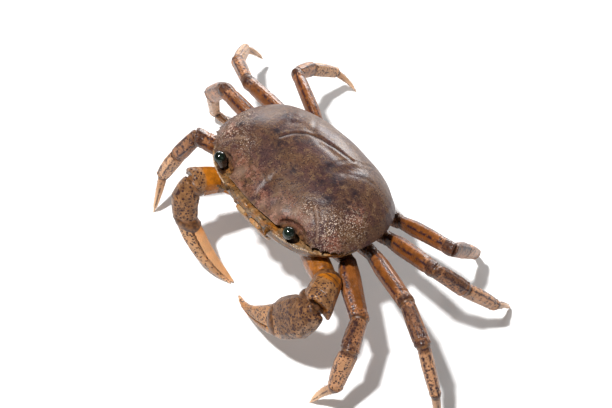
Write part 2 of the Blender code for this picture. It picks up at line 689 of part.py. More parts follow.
def mouth_rings(side, body, growth):
    """Rings of one outer mouth leg, grown on every side for the hollow that it lies in."""
    down = Vector((0, MOUTH_FOOT[0] - MOUTH_TOP[0], MOUTH_FOOT[1] - MOUTH_TOP[1]))
    slope = (body.to_3x3() @ down).normalized()
    across = Vector((1.0, 0.0, 0.0))
    out = slope.cross(across)
    rings = []
    for share, half, thick in MOUTH_PROFILE:
        centre = body @ mm((side * 2.55, MOUTH_TOP[0] + down.y * share, MOUTH_TOP[1] + down.z * share))
        if share in (0.0, 1.0):
            centre += slope * (growth * (2.0 * share - 1.0))
        rings.append(section(centre, across, out, half * MM + growth, thick * MM + growth, 10, 0.0, 3.0))
    return rings


def add_mouthpart(side, body, model, root, look):
    """Broad outer mouth leg that closes one half of the mouth frame."""
    name = "maxilliped_left" if side > 0 else "maxilliped_right"
    add_limb_segment(name, mouth_rings(side, body, 0.0), model, root, look)


def tail_rings(body, growth):
    """Rings of the narrow tail flap of a male, folded forward under the breast."""
    up = body.to_3x3() @ Vector((0, 0, 1))
    back = body.to_3x3() @ Vector((0, 1, 0))
    rings = []
    for y, half, lift in TAIL_PROFILE:
        centre = body @ mm((0.0, y, lift - TRUNK_DEPTH / MM - 0.3))
        if y in (TAIL_PROFILE[0][0], TAIL_PROFILE[-1][0]):
            centre += back * (growth * math.copysign(1.0, y))
        across = Vector((1, 0, 0))
        rings.append(section(centre, across, up, half * MM + growth, TAIL_THICKNESS + growth, 12, 0.0, 3.0))
    return rings


def add_abdomen(body, model, root, look):
    add_limb_segment("abdomen", tail_rings(body, 0.0), model, root, look)


def loose_loft(rings):
    """Closed tube of rings as a loose object for a Boolean."""
    return bpy.data.objects.new("tube", mesh_from("tube", lambda bm: loft(bm, rings)))


def orbit_tools(body):
    """The hollow of each eye socket."""
    x, y, z = ORBIT_PLACE
    return [tool_ellipsoid(mm((side * x, y, z)), mm(ORBIT_RADII), body) for side in (1, -1)]


def add_shell(body, model, root, look):
    data = mesh_from("carapace", lambda bm: shape_disc(bm, 60, 26, shell_surface))
    shell = add_object("carapace", data, model, body, root, look)
    pieces = []
    for x, y, length in MARGIN_TEETH:
        for side in (1, -1):
            out = Vector((TOOTH_WAY[0] * side, *TOOTH_WAY[1:])).normalized()
            spot = mm((x * side, y, TOOTH_LEVEL))
            width = TOOTH_BASE + TOOTH_FATNESS * length * MM
            root_end = body @ (spot - out * TOOTH_DEPTH)
            pieces.append(tool_cone(root_end, body @ (spot + out * (length * MM)), width, SPINE_TIP))
    apply_boolean(shell, "UNION", pieces)
    apply_boolean(shell, "DIFFERENCE", orbit_tools(body))
    return shell


def add_trunk(body, model, root, look, limb_roots):
    """Breast and flanks, with a socket at each limb root."""
    data = mesh_from("thorax", lambda bm: shape_disc(bm, 44, 22, trunk_surface))
    trunk = add_object("thorax", data, model, body, root, look)
    cutters = orbit_tools(body)
    for inner, start, knee, radius in limb_roots:
        out = (start - inner).normalized()
        along = (knee - start).normalized()
        narrow, wide = [radius * share for share in COXA_HOLLOW]
        cutters.append(tool_cone(inner - out * GAP, start + out * MM, narrow, wide, 12))
        narrow, wide = [radius * share for share in MERUS_HOLLOW]
        cutters.append(tool_cone(start - along * MM, knee + along * 2 * MM, narrow, wide, 12))
    apply_boolean(trunk, "DIFFERENCE", cutters)
    hollows = [loose_loft(tail_rings(body, 2 * GAP))]
    for side in (1, -1):
        hollows.append(loose_loft(mouth_rings(side, body, GAP)))
        (x, y, z), radii = FEELER_SOCKET
        hollows.append(tool_ellipsoid(mm((side * x, y, z)), mm(radii), body))
    apply_boolean(trunk, "DIFFERENCE", hollows)


def main():
    for old in list(bpy.data.objects):
        bpy.data.objects.remove(old)
    model = new_collection("ricefield_crab")
    root = bpy.data.objects.new("crab_root", None)
    model.objects.link(root)
    body = Matrix.Translation((0.0, 0.0, MARGIN_HEIGHT)) @ Matrix.Rotation(-NOSE_UP, 4, "X")
    brown = ((0.20, 0.13, 0.10), 0.35)
    orange = ((0.55, 0.24, 0.08), 0.45)
    dark = ((0.01, 0.015, 0.012), 0.08)
    roots = []
    for name in LEG_POSES:
        roots.append((*add_leg(name, body, model, root, orange), LEG_ROOT))
    for side_name in CLAW_POSES:
        roots.append((*add_claw(side_name, body, model, root, orange), CLAW_ROOT))
    add_shell(body, model, root, brown)
    add_trunk(body, model, root, orange, roots)
    add_abdomen(body, model, root, orange)
    for side_name in EYE_PLACES:
        add_eye(side_name, body, model, root, dark)
    for side in (1, -1):
        add_feeler(side, body, model, root, orange)
        add_mouthpart(side, body, model, root, orange)
    bpy.context.view_layer.update()
    nodes = [node for node in model.objects if node.type == "MESH"]
    corners = [node.matrix_world @ vert.co for node in nodes for vert in node.data.vertices]
    low = Vector([min(corner[i] for corner in corners) for i in range(3)])
    high = Vector([max(corner[i] for corner in corners) for i in range(3)])
    root.location = (-(low.x + high.x) / 2, -(low.y + high.y) / 2, -low.z)
    bpy.context.view_layer.update()
    print("low", low / MM, "high", high / MM, "nodes", len(nodes))


main()
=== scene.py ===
import math

import bmesh
import bpy
import numpy as np
from mathutils import Matrix, Vector, kdtree


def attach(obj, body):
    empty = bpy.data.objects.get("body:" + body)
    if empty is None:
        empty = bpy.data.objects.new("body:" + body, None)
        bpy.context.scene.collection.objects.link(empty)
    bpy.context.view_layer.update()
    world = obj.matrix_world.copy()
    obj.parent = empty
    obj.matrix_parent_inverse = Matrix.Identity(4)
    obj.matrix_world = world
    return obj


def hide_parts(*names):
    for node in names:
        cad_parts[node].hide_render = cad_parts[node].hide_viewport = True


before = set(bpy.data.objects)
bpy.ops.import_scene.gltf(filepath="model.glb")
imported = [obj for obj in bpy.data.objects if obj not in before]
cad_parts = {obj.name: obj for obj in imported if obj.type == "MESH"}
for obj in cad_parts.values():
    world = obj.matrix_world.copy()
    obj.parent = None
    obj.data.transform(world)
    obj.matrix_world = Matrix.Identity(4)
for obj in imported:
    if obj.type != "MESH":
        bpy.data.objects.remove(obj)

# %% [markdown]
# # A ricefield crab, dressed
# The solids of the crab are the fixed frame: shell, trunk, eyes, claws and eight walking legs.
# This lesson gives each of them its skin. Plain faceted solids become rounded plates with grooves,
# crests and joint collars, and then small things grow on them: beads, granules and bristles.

MM = 0.001
SIDES = {"left": 1, "right": -1}
scene = bpy.context.scene
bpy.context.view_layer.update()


def new_object(name, data):
    made = bpy.data.objects.new(name, data)
    scene.collection.objects.link(made)
    return made


# %% [markdown]
# ## Camera and light
# The crab is seen from its front left and well above, so the back shows whole. A long lens keeps the near
# legs from looking too large. A small key lamp high over the front draws the highlights and the shadows
# on the floor. Two wide lamps low behind brush light over the far edge of the back, and a faint one opens
# up the left side.

# %% Camera
VIEW_AZIMUTH = math.radians(51.3)
VIEW_ELEVATION = math.radians(53.0)
VIEW_DISTANCE = 392.5 * MM
VIEW_TARGET = Vector((-13.11, 0.56, 0.0)) * MM
LENS, SENSOR_WIDTH, CLIP_START = 90.3, 36.0, 10 * MM


def from_angles(azimuth, elevation):
    """Unit vector from the crab towards something at that azimuth, 0 being straight ahead of it."""
    return Vector((math.sin(azimuth) * math.cos(elevation),
                   -math.cos(azimuth) * math.cos(elevation), math.sin(elevation)))


toward_camera = from_angles(VIEW_AZIMUTH, VIEW_ELEVATION)
camera = new_object("camera", bpy.data.cameras.new("camera"))
camera.data.lens = LENS
camera.data.sensor_width = SENSOR_WIDTH
camera.data.clip_start = CLIP_START
camera.location = VIEW_TARGET + toward_camera * VIEW_DISTANCE
camera.rotation_euler = toward_camera.to_track_quat("Z", "Y").to_euler()
bpy.context.scene.camera = camera
scene.view_settings.view_transform = "Standard"
print("camera", [round(v / MM) for v in camera.location], "mm, lens", camera.data.lens)

# %% Lamps
# Name, azimuth and elevation in degrees, distance and width in metres, watts.
LAMPS = [("key", -6, 71, 0.80, 0.05, 8.4), ("fill_left", 100, 30, 0.90, 0.50, 0.4),
         ("rim_back", 206, 11, 0.90, 0.30, 8.0), ("rim_right", 240, 12, 0.90, 0.30, 3.0)]
LAMP_AIM = Vector((0, 0, 0.015))
WORLD_COLOUR, WORLD_STRENGTH = (1.0, 0.98, 0.96, 1.0), 0.065


def add_lamp(name, azimuth, elevation, distance, width, watts):
    """Square soft lamp that looks at the middle of the crab."""
    lamp = bpy.data.lights.new(name, "AREA")
    lamp.shape = "SQUARE"
    lamp.size = width
    lamp.energy = watts
    made = new_object(name, lamp)
    way = from_angles(math.radians(azimuth), math.radians(elevation))
    made.location = way * distance + LAMP_AIM
    made.rotation_euler = way.to_track_quat("Z", "Y").to_euler()


for row in LAMPS:
    add_lamp(*row)
world = bpy.data.worlds.new("studio")
world.use_nodes = True
background = world.node_tree.nodes["Background"].inputs
background["Color"].default_value = WORLD_COLOUR
background["Strength"].default_value = WORLD_STRENGTH
scene.world = world

# %% [markdown]
# ## Small helpers for shaders
# Every finish here is a stack of colours, each laid over the last where soft noise, scattered dots or a
# mask that comes with the mesh as a point attribute allow it.


# %% Nodes and patterns
def add_node(tree, kind, inputs=None, **settings):
    """A node with its settings, and its inputs set to values or linked to sockets."""
    made = tree.nodes.new(kind)
    for key, value in settings.items():
        setattr(made, key, value)
    for key, value in (inputs or {}).items():
        if isinstance(value, bpy.types.NodeSocket):
            tree.links.new(value, made.inputs[key])
        else:
            made.inputs[key].default_value = value
    return made


def math_of(tree, operation, first, second):
    return add_node(tree, "ShaderNodeMath", {0: first, 1: second}, operation=operation).outputs[0]


def vector_of(tree, operation, first, second):
    return add_node(tree, "ShaderNodeVectorMath", {0: first, 1: second}, operation=operation).outputs[0]


def places(tree):
    return add_node(tree, "ShaderNodeTexCoord").outputs["Object"]


def mask(tree, name):
    """A point attribute of the mesh as a number."""
    return add_node(tree, "ShaderNodeAttribute", attribute_name=name).outputs["Fac"]


def ramp(tree, value, low, high):
    """0 below low, 1 above high, smooth between."""
    return add_node(tree, "ShaderNodeMapRange", {"Value": value, "From Min": low, "From Max": high},
                    interpolation_type="SMOOTHSTEP").outputs["Result"]


def cloud(tree, width, detail=3.0, roughness=0.55, seed=0.0):
    """Soft noise whose clouds are about that many millimetres wide."""
    moved = vector_of(tree, "ADD", places(tree), (seed, seed * 0.7, -seed))
    return add_node(tree, "ShaderNodeTexNoise", {"Vector": moved, "Scale": 1.0 / (width * MM),
                                                 "Detail": detail, "Roughness": roughness}).outputs["Fac"]


def patches(tree, width, low, high, detail=3.0, roughness=0.55, seed=0.0):
    """Patches where such a cloud is thick: 0 below low, 1 above high."""
    return ramp(tree, cloud(tree, width, detail, roughness, seed), low, high)


def stray(tree, width, strength):
    """Noise about zero, which frays the edge of a mask that it is added to."""
    return math_of(tree, "MULTIPLY", math_of(tree, "SUBTRACT", cloud(tree, width), 0.5), strength)


def pits(tree, width):
    """Net of round pits about that many millimetres apart."""
    return add_node(tree, "ShaderNodeTexVoronoi", {
        "Vector": places(tree), "Scale": 1.0 / (width * MM)}).outputs["Distance"]


print("patterns ready")

# %% Dots, layers of colour and relief
SPECK_WOBBLE, LEAST_SPECK = 0.5, 0.25
SPECK_EDGE, CHOICE_EDGE = 0.10, 0.02


def dots(tree, spacing, radius, share, seed=0.0):
    """Round specks: a share of the cells of that spacing (mm) has one, of about that radius (mm)."""
    scale = 1.0 / (spacing * MM)
    wobble = add_node(tree, "ShaderNodeTexNoise", {"Vector": places(tree), "Scale": scale, "Detail": 1.0})
    bent = vector_of(tree, "MULTIPLY", wobble.outputs["Color"], (spacing * MM * SPECK_WOBBLE,) * 3)
    moved = vector_of(tree, "ADD", vector_of(tree, "ADD", places(tree), bent), (seed,) * 3)
    cells = add_node(tree, "ShaderNodeTexVoronoi", {"Vector": moved, "Scale": scale})
    chance = add_node(tree, "ShaderNodeSeparateColor", {"Color": cells.outputs["Color"]})
    grown = math_of(tree, "MULTIPLY", chance.outputs[1], radius / spacing)
    grown = math_of(tree, "ADD", grown, LEAST_SPECK * radius / spacing)
    spot = ramp(tree, math_of(tree, "SUBTRACT", grown, cells.outputs["Distance"]), 0.0, SPECK_EDGE)
    chosen = ramp(tree, chance.outputs[0], 1.0 - share, 1.0 - share + CHOICE_EDGE)
    return math_of(tree, "MULTIPLY", spot, chosen)


def paint(tree, under, over, *amounts):
    """Colour laid over another where all the amounts, each from 0 to 1, are high."""
    amount = amounts[0]
    for other in amounts[1:]:
        amount = math_of(tree, "MULTIPLY", amount, other)
    made = add_node(tree, "ShaderNodeMix", data_type="RGBA")
    for socket, value in (("Factor_Float", amount), ("A_Color", under), ("B_Color", over)):
        target = next(s for s in made.inputs if s.identifier == socket)
        if isinstance(value, bpy.types.NodeSocket):
            tree.links.new(value, target)
        else:
            target.default_value = (*value, 1.0)
    return next(s for s in made.outputs if s.identifier == "Result_Color")


def finish_of(name, roughness, coat=0.0, coat_roughness=0.2, specular=0.5):
    """A new material, and its tree."""
    made = bpy.data.materials.new(name)
    made.use_nodes = True
    shader = made.node_tree.nodes["Principled BSDF"]
    for socket, value in (("Roughness", roughness), ("Coat Weight", coat),
                          ("Coat Roughness", coat_roughness), ("Specular IOR Level", specular)):
        shader.inputs[socket].default_value = value
    return made, made.node_tree


def dressed(made, colour, height, depth):
    """The material with its colour, and with a fine relief of that depth in millimetres."""
    tree = made.node_tree
    shader = tree.nodes["Principled BSDF"]
    tree.links.new(colour, shader.inputs["Base Color"])
    bump = add_node(tree, "ShaderNodeBump", {"Height": height, "Distance": depth * MM, "Strength": 1.0})
    tree.links.new(bump.outputs["Normal"], shader.inputs["Normal"])
    return made


print("shader helpers ready")

# %% [markdown]
# ## The finishes
# The back is satin brown with purple clouds, dark blotches, and reddish patches near the front, where a
# pink bloom is partly a painted highlight. Pale flecks and spots on the back are painted highlights. Legs
# and claws are orange with a densely specked upper side. Grooves and joints hold dark pigment, and finger
# tips are pale horn. The eye sockets, the underside, the roots of the limbs and the left claw's arm carry
# painted shade. It could be painted on unwrapped nets, but noise and masks need no seams.

# %% Finish of the back
# Layers: colour as linear red, green and blue, then patterns with their values, masks or strengths.
BACK_BROWN, SOCKET_SHADE, SOCKET_LIGHT = (0.096, 0.047, 0.024), (0.030, 0.012, 0.006), (0.150, 0.066, 0.026)
BACK_LAYERS = {
    "purple clouds": ((0.058, 0.026, 0.024), (patches, 7.0, 0.40, 0.60, 4.0)),
    "tan clouds": ((0.138, 0.076, 0.040), (patches, 1.7, 0.50, 0.64, 5.0, 0.68, 0.3)),
    "red patches": ((0.190, 0.070, 0.045), (patches, 2.0, 0.42, 0.60, 5.0, 0.65, 0.7), "red"),
    # The pale pink bloom on the red patches is partly the shell's own pink and partly a painted highlight.
    "pink bloom and painted highlight": ((0.34, 0.180, 0.130), (patches, 1.2, 0.50, 0.62, 5.0, 0.7, 1.1), "red", 0.7),
    "specks": ((0.026, 0.011, 0.013), (dots, 0.36, 0.19, 0.75, 0.1), 0.82),
    # Painted highlights: pale flecks all over, and denser pale dots on the rough grounds, stand for glints on
    # the grain.
    "painted glints": ((0.32, 0.20, 0.125), (dots, 0.50, 0.15, 0.45, 0.9), 0.45),
    "painted sparkle": ((0.56, 0.42, 0.33), (dots, 0.34, 0.17, 0.85, 1.7), "rugose", 0.90),
    "blotches": ((0.016, 0.009, 0.013), (patches, 1.3, 0.41, 0.53, 5.0, 0.72, 0.5), "blotch", 0.94),
    "grooves": ((0.022, 0.012, 0.014), "groove"),
    # Pale front edge and worn crests, with pale spots of painted highlight near the front.
    "pale edges and painted highlights": ((0.35, 0.22, 0.155), "rim"),
}


def lay(tree, colour, layers):
    """Lays each layer over the colour, where all its amounts are high."""
    for over, *given in layers.values():
        amounts = [mask(tree, a) if isinstance(a, str) else a[0](tree, *a[1:]) if isinstance(a, tuple) else a
                   for a in given]
        colour = paint(tree, colour, over, *amounts)
    return colour


def make_shell_finish():
    made, tree = finish_of("shell_brown", 0.40, 0.03, 0.25, 0.17)
    # Painted shade in the eye sockets: dark brown, patched with the socket's own warm brown.
    socket = paint(tree, SOCKET_SHADE, SOCKET_LIGHT, patches(tree, 1.0, 0.40, 0.66, 4.0, 0.6, 0.6))
    colour = paint(tree, lay(tree, BACK_BROWN, BACK_LAYERS), socket, mask(tree, "orbit"))
    grain = math_of(tree, "ADD", pits(tree, 0.42), cloud(tree, 0.8, 4.0))
    grain = math_of(tree, "MULTIPLY", grain, math_of(tree, "ADD", 0.22, mask(tree, "rugose")))
    waves = math_of(tree, "MULTIPLY", cloud(tree, 3.2), 0.5)
    return dressed(made, colour, math_of(tree, "ADD", grain, waves), 0.12)


shell_brown = make_shell_finish()
print("made", shell_brown.name, "with", len(BACK_LAYERS), "layers")

# %% Finish of legs and claws
HORN, FAINT_SPECK, DARK_SPECK = (0.84, 0.51, 0.29), (0.060, 0.026, 0.022), (0.030, 0.013, 0.019)
LINE_INK, JOINT_AND_SHADE_DARK = (0.020, 0.011, 0.022), (0.036, 0.014, 0.012)
PLAIN_SHADE, OCHRE_SHADE = 0.58, 0.66


def make_limb_finish(name, plain, ochre, spacing, radius, share):
    """Chitin that goes from plain to specked ochre with the mask tone, dark with dark, horn with pale."""
    made, tree = finish_of(name, 0.33, 0.14, 0.12, 0.22)
    cloudy = cloud(tree, 2.2, 4.0, 0.6)
    plain = paint(tree, plain, [v * PLAIN_SHADE for v in plain], ramp(tree, cloudy, 0.35, 0.65))
    ochre = paint(tree, ochre, [v * OCHRE_SHADE for v in ochre], ramp(tree, cloudy, 0.36, 0.62))
    fray = stray(tree, 1.3, 0.8)
    ragged = math_of(tree, "ADD", mask(tree, "tone"), fray)
    colour = paint(tree, plain, ochre, ramp(tree, ragged, 0.20, 0.70))
    colour = paint(tree, colour, HORN, mask(tree, "pale"))
    faint = dots(tree, spacing * 0.6, radius * 0.45, 0.6, 0.8)
    colour = paint(tree, colour, FAINT_SPECK, faint, ramp(tree, ragged, 0.0, 0.4), 0.45)
    specks = math_of(tree, "MULTIPLY", dots(tree, spacing, radius, share), ramp(tree, ragged, 0.15, 0.50))
    large = dots(tree, spacing * 2.2, radius * 1.8, 0.35, 0.4)
    large = math_of(tree, "MULTIPLY", large, ramp(tree, ragged, 0.60, 0.95))
    colour = paint(tree, colour, DARK_SPECK, math_of(tree, "MAXIMUM", specks, large), 0.92)
    colour = paint(tree, colour, LINE_INK, mask(tree, "line"), patches(tree, 0.9, 0.38, 0.50, 3.0, 0.6, 0.2))
    # The dark mask holds dark joints and pigment, and painted shade at the roots of the limbs.
    patchy = ramp(tree, math_of(tree, "ADD", mask(tree, "dark"), fray), 0.15, 0.85)
    colour = paint(tree, colour, JOINT_AND_SHADE_DARK, patchy, 0.92)
    return dressed(made, colour, math_of(tree, "ADD", pits(tree, 0.36), cloud(tree, 0.6)), 0.08)


leg_chitin = make_limb_finish("leg_chitin", (0.27, 0.086, 0.017), (0.52, 0.230, 0.100), 0.48, 0.245, 0.95)
claw_chitin = make_limb_finish("claw_chitin", (0.58, 0.185, 0.012), (0.44, 0.205, 0.075), 0.58, 0.300, 1.0)
print("made", leg_chitin.name, "and", claw_chitin.name)

# %% Finishes of the trunk and the eyes
TRUNK_ORANGE, SEAM_AND_SHADE_DARK, EYE_BLACK = (0.44, 0.155, 0.018), (0.030, 0.011, 0.004), (0.003, 0.006, 0.004)
TRUNK_LAYERS = {
    "ochre clouds": ((0.32, 0.185, 0.080), (patches, 2.4, 0.38, 0.60, 4.0)),
    "specks": ((0.040, 0.018, 0.010), (dots, 0.42, 0.22, 0.80, 0.2), 0.92),
    "pale rims": ((0.50, 0.33, 0.18), "pale"),
}
EYE_LAYERS = {"green clouds": ((0.009, 0.018, 0.011), (patches, 1.4, 0.35, 0.65, 2.0)),
              "stalk": ((0.035, 0.018, 0.010), "dark")}


def make_trunk_finish():
    made, tree = finish_of("trunk_ochre", 0.36, 0.06, 0.25, 0.28)
    # Dark seams and furrows, with painted shade under the rear of the body and in the eye sockets.
    seams = ramp(tree, math_of(tree, "ADD", mask(tree, "dark"), stray(tree, 0.9, 0.7)), 0.15, 0.80)
    colour = paint(tree, lay(tree, TRUNK_ORANGE, TRUNK_LAYERS), SEAM_AND_SHADE_DARK, seams)
    height = math_of(tree, "ADD", cloud(tree, 0.5), cloud(tree, 1.6, 3.0, 0.5, 0.4))
    return dressed(made, colour, height, 0.07)


def make_eye_finish():
    made, tree = finish_of("eye_dark", 0.20, 0.45, 0.04, 0.3)
    return dressed(made, lay(tree, EYE_BLACK, EYE_LAYERS), pits(tree, 0.09), 0.004)


trunk_ochre = make_trunk_finish()
eye_dark = make_eye_finish()
print("made", trunk_ochre.name, "and", eye_dark.name)

# %% Plain finishes of joints, bristles and beads
# Name, light and deep colour, width of the clouds in mm, roughness, depth of the relief in mm.
PLAIN_FINISHES = [
    ("joint_skin", (0.200, 0.080, 0.024), (0.070, 0.028, 0.012), 1.0, 0.42, 0.08),
    ("bristle_brown", (0.16, 0.085, 0.040), (0.060, 0.030, 0.018), 0.6, 0.5, 0.01),
    ("bead_pale", (0.60, 0.46, 0.32), (0.34, 0.19, 0.10), 0.8, 0.35, 0.02),
    ("bead_brown", (0.24, 0.145, 0.095), (0.10, 0.056, 0.044), 0.8, 0.36, 0.02),
]
PLAIN_COAT, PLAIN_COAT_ROUGHNESS = 0.1, 0.3


def make_plain_finish(name, light, deep, width, roughness, depth):
    made, tree = finish_of(name, roughness, PLAIN_COAT, PLAIN_COAT_ROUGHNESS)
    colour = paint(tree, deep, light, patches(tree, width, 0.36, 0.64))
    return dressed(made, colour, cloud(tree, width * 0.4), depth)


joint_skin, bristle_brown, bead_pale, bead_brown = [make_plain_finish(*row) for row in PLAIN_FINISHES]
print("finishes:", len(bpy.data.materials))

# %% [markdown]
# ## From faceted solid to rounded plate
# A solid of the frame is loose triangles with flat sides. Subdivision would keep them as creases, so a
# merged copy goes through a voxel remesh, which wraps an even net of small squares round it, and is then
# smoothed. On such a net any groove or crest is only a matter of moving points along their normals.

# %% Skins of the solids
MERGE_DISTANCE = 0.002 * MM
SMOOTH_FACTOR, SMOOTH_ROUNDS = 0.5, 3


def mesh_of(bm, name):
    data = bpy.data.meshes.new(name)
    bm.to_mesh(data)
    bm.free()
    return data


def evaluated_mesh(holder):
    """Plain mesh that an object's modifiers make. The object goes."""
    bpy.context.view_layer.update()
    graph = bpy.context.evaluated_depsgraph_get()
    result = bpy.data.meshes.new_from_object(holder.evaluated_get(graph))
    holder.modifiers.clear()
    bpy.data.objects.remove(holder)
    return result


def skin_mesh(node_name, voxel):
    """Even, rounded net round a copy of a solid of the frame, with squares of about that size in mm."""
    bm = bmesh.new()
    bm.from_mesh(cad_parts[node_name].data)
    bmesh.ops.remove_doubles(bm, verts=bm.verts, dist=MERGE_DISTANCE)
    holder = new_object("holder", mesh_of(bm, node_name + "_merged"))
    wrap = holder.modifiers.new("wrap", "REMESH")
    wrap.mode = "VOXEL"
    wrap.voxel_size = voxel * MM
    soften = holder.modifiers.new("soften", "SMOOTH")
    soften.factor = SMOOTH_FACTOR
    soften.iterations = SMOOTH_ROUNDS
    return evaluated_mesh(holder)


def read_vectors(items, key):
    out = np.zeros(len(items) * 3)
    items.foreach_get(key, out)
    return out.reshape(-1, 3)


def skin_of(data):
    return read_vectors(data.vertices, "co"), read_vectors(data.vertex_normals, "vector")


def pushed(points, normals, shift):
    """Points moved along their normals by that many millimetres."""
    return points + normals * np.reshape(shift * MM, (-1, 1))


def set_points(data, moved):
    data.vertices.foreach_set("co", moved.reshape(-1))
    data.update()


def set_masks(data, **masks):
    """Writes each mask, an array or one number from 0 to 1, as a point attribute."""
    for name, values in masks.items():
        made = data.attributes.get(name) or data.attributes.new(name, "FLOAT", "POINT")
        values = np.clip(np.broadcast_to(values, len(data.vertices)), 0.0, 1.0)
        made.data.foreach_set("value", values.astype(np.float32))


print("skin helpers ready")


# %% Curves for masks, and finished pieces
def step(low, high, values):
    """0 at low, 1 at high, smooth between. Falls where high is the lower of the two."""
    t = np.clip((values - low) / (high - low), 0.0, 1.0)
    return t * t * (3.0 - 2.0 * t)


def bell(distance, width):
    return np.exp(-(distance / width) ** 2)


def line_distance(xy, line):
    """Distance of each point to a broken line, all in millimetres."""
    best = np.inf
    for start, end in zip(line, line[1:]):
        edge = np.subtract(end, start)
        t = np.clip(((xy - start) @ edge) / (edge @ edge), 0.0, 1.0)
        near = start + t[:, None] * edge
        best = np.minimum(best, np.linalg.norm(xy - near, axis=1))
    return best


def add_piece(name, data, look, slot_name, *node_names):
    """Finished piece that rides on the body and may stand for solids of the frame."""
    data.materials.clear()
    data.materials.append(look)
    for face in data.polygons:
        face.material_index = 0
    data.shade_smooth()
    made = new_object(name, data)
    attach(made, "root")
    if node_names:
        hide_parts(*node_names)
    return made


print("piece helpers ready")

# %% [markdown]
# ## The back
# The carapace is one plate. Its map is that of the organs below: a shallow H behind the middle, a short
# furrow between two low crests behind the front, and an oblique crest from there towards the side teeth.
# It could be sculpted by hand, but as lines with a depth and a width the grooves stay open to change.
# The measures are in the shell's own frame, tilted nose up, with its zero in the middle of the margin.

# %% Map of the back
SHELL_TILT = Matrix.Rotation(math.radians(-10.5), 4, "X")
SHELL_PLACE = Matrix.Translation(Vector((-3.43, -7.0, 27.5)) * MM) @ SHELL_TILT
SHELL_BACK = SHELL_PLACE.inverted()
ONE, BOTH = (1,), (1, -1)
# Grooves: line in mm, depth in mm, width in mm, how dark, and whether on both sides.
GROOVES = [
    (((-7.4, -3.6), (-6.4, -0.6), (-4.6, 2.0), (-2.2, 3.9), (1.6, 4.9), (4.9, 5.6), (7.5, 6.3)),
     0.20, 0.42, 0.80, ONE),
    (((7.4, -3.6), (6.6, -0.6), (6.4, 2.0), (6.9, 4.4), (7.5, 6.3), (9.1, 8.6), (9.6, 11.5)),
     0.07, 0.50, 0.30, ONE),
    (((-4.6, 4.2), (-6.6, 6.6), (-8.6, 8.8), (-9.4, 11.5)), 0.07, 0.50, 0.25, ONE),
    (((10.0, 1.6), (12.9, 5.1), (15.2, 7.2)), 0.06, 0.60, 0.20, BOTH),
    (((-0.6, -12.6), (0.6, -11.2), (2.0, -9.8)), 0.04, 0.26, 0.55, ONE),
    (((-0.6, -12.6), (-2.2, -11.9), (-3.6, -11.6)), 0.03, 0.26, 0.45, ONE),
    (((-0.6, -12.6), (-0.2, -15.2)), 0.03, 0.40, 0.40, ONE),
    (((6.0, -9.6), (9.5, -9.4), (13.5, -7.4), (15.6, -4.4)), 0.05, 0.80, 0.15, BOTH),
    (((13.6, -9.6), (16.2, -11.2), (18.2, -12.8)), 0.12, 0.36, 0.35, BOTH),
]
# Crests, on both sides: line in mm, height in mm, width in mm.
CRESTS = [
    (((1.4, -11.6), (3.0, -12.1), (5.0, -12.4)), 0.07, 0.80),
    (((6.4, -12.4), (9.0, -11.6), (12.0, -10.8)), 0.08, 0.80),
    (((13.0, -8.9), (15.9, -10.5), (18.2, -12.0)), 0.20, 0.50),
]
# Low swellings: x, y, half width, half length, height in mm, and whether on both sides.
SWELLINGS = [(0.0, -4.0, 5.5, 5.0, 0.35, ONE), (12.5, 1.0, 6.5, 8.0, 0.30, BOTH),
             (0.0, 9.5, 4.0, 4.0, 0.28, ONE), (7.6, -14.2, 1.6, 1.2, 0.30, BOTH),
             (3.6, -14.6, 2.2, 1.3, 0.22, BOTH), (17.5, -7.5, 3.0, 3.0, 0.30, BOTH)]
print("lines of grooves", len(GROOVES), "of crests", len(CRESTS), "swellings", len(SWELLINGS))

# %% Patches of the back
# Dark blotches, reddish patches, pale spots of painted highlight and, on both sides, rough ground: x, y,
# radius in mm.
BLOTCHES = [(-15.0, -3.8, 1.7), (-5.6, -5.1, 2.0), (-3.9, -0.9, 1.6), (6.5, 0.1, 1.9), (10.8, -1.3, 2.4),
            (15.4, 0.5, 1.4), (8.8, -4.3, 1.2), (17.0, -2.9, 1.8), (13.4, -5.8, 1.6), (-9.5, -3.0, 1.8),
            (-12.0, 2.5, 1.6), (2.0, -6.8, 1.0), (-1.5, 1.2, 1.2), (-17.5, -6.5, 1.4), (11.5, 6.0, 1.5)]
RED_PATCHES = [(-4.4, -14.6, 3.0), (1.0, -15.8, 2.6), (7.0, -14.8, 3.6), (12.5, -14.0, 3.4),
               (21.0, -9.8, 2.6), (-10.0, -13.5, 3.0), (-19.0, -9.0, 3.0), (19.5, -2.0, 2.4)]
HIGHLIGHT_SPOTS = [(6.8, -14.8, 1.5), (-7.4, -14.6, 1.3), (10.4, -12.2, 1.1), (3.0, -15.8, 0.9), (13.6, -11.8, 1.0)]
RUGOSE = [(18.4, -8.8, 3.6), (12.0, -9.8, 2.0), (20.5, -4.0, 3.0)]
# Middle and half axes of an eye socket in mm.
ORBIT = ((13.4, -15.6, 1.15), (4.6, 3.0, 2.4))


def spots(xy, table, sides=ONE):
    """Closeness of each point to the nearest of the spots, on the given sides."""
    out = 0.0
    for x, y, radius in table:
        for side in sides:
            out = np.maximum(out, bell(np.hypot(xy[:, 0] - side * x, xy[:, 1] - y), radius))
    return out


def in_orbit(own):
    """1 on the walls of the eye sockets, 0 away from them."""
    out = 0.0
    (x, y, z), radii = ORBIT
    for side in BOTH:
        away = np.linalg.norm((own - [side * x, y, z]) / radii, axis=1)
        out = np.maximum(out, 1.0 - step(1.03, 1.14, away))
    return out


def in_shell(points):
    """Points in the shell's own frame, in millimetres."""
    return (points @ np.array(SHELL_BACK.to_3x3()).T + np.array(SHELL_BACK.translation)) / MM


print("blotches", len(BLOTCHES), "red patches", len(RED_PATCHES), "rough grounds", 2 * len(RUGOSE))

# %% Shape and masks of the back
# Lip of a groove: height as a share of its depth, place in widths. Crests above 0.15 mm are worn pale.
LIP_HEIGHT, LIP_PLACE = 0.20, 2.2
WORN_CREST, LEAST_RED = 0.15, 0.10


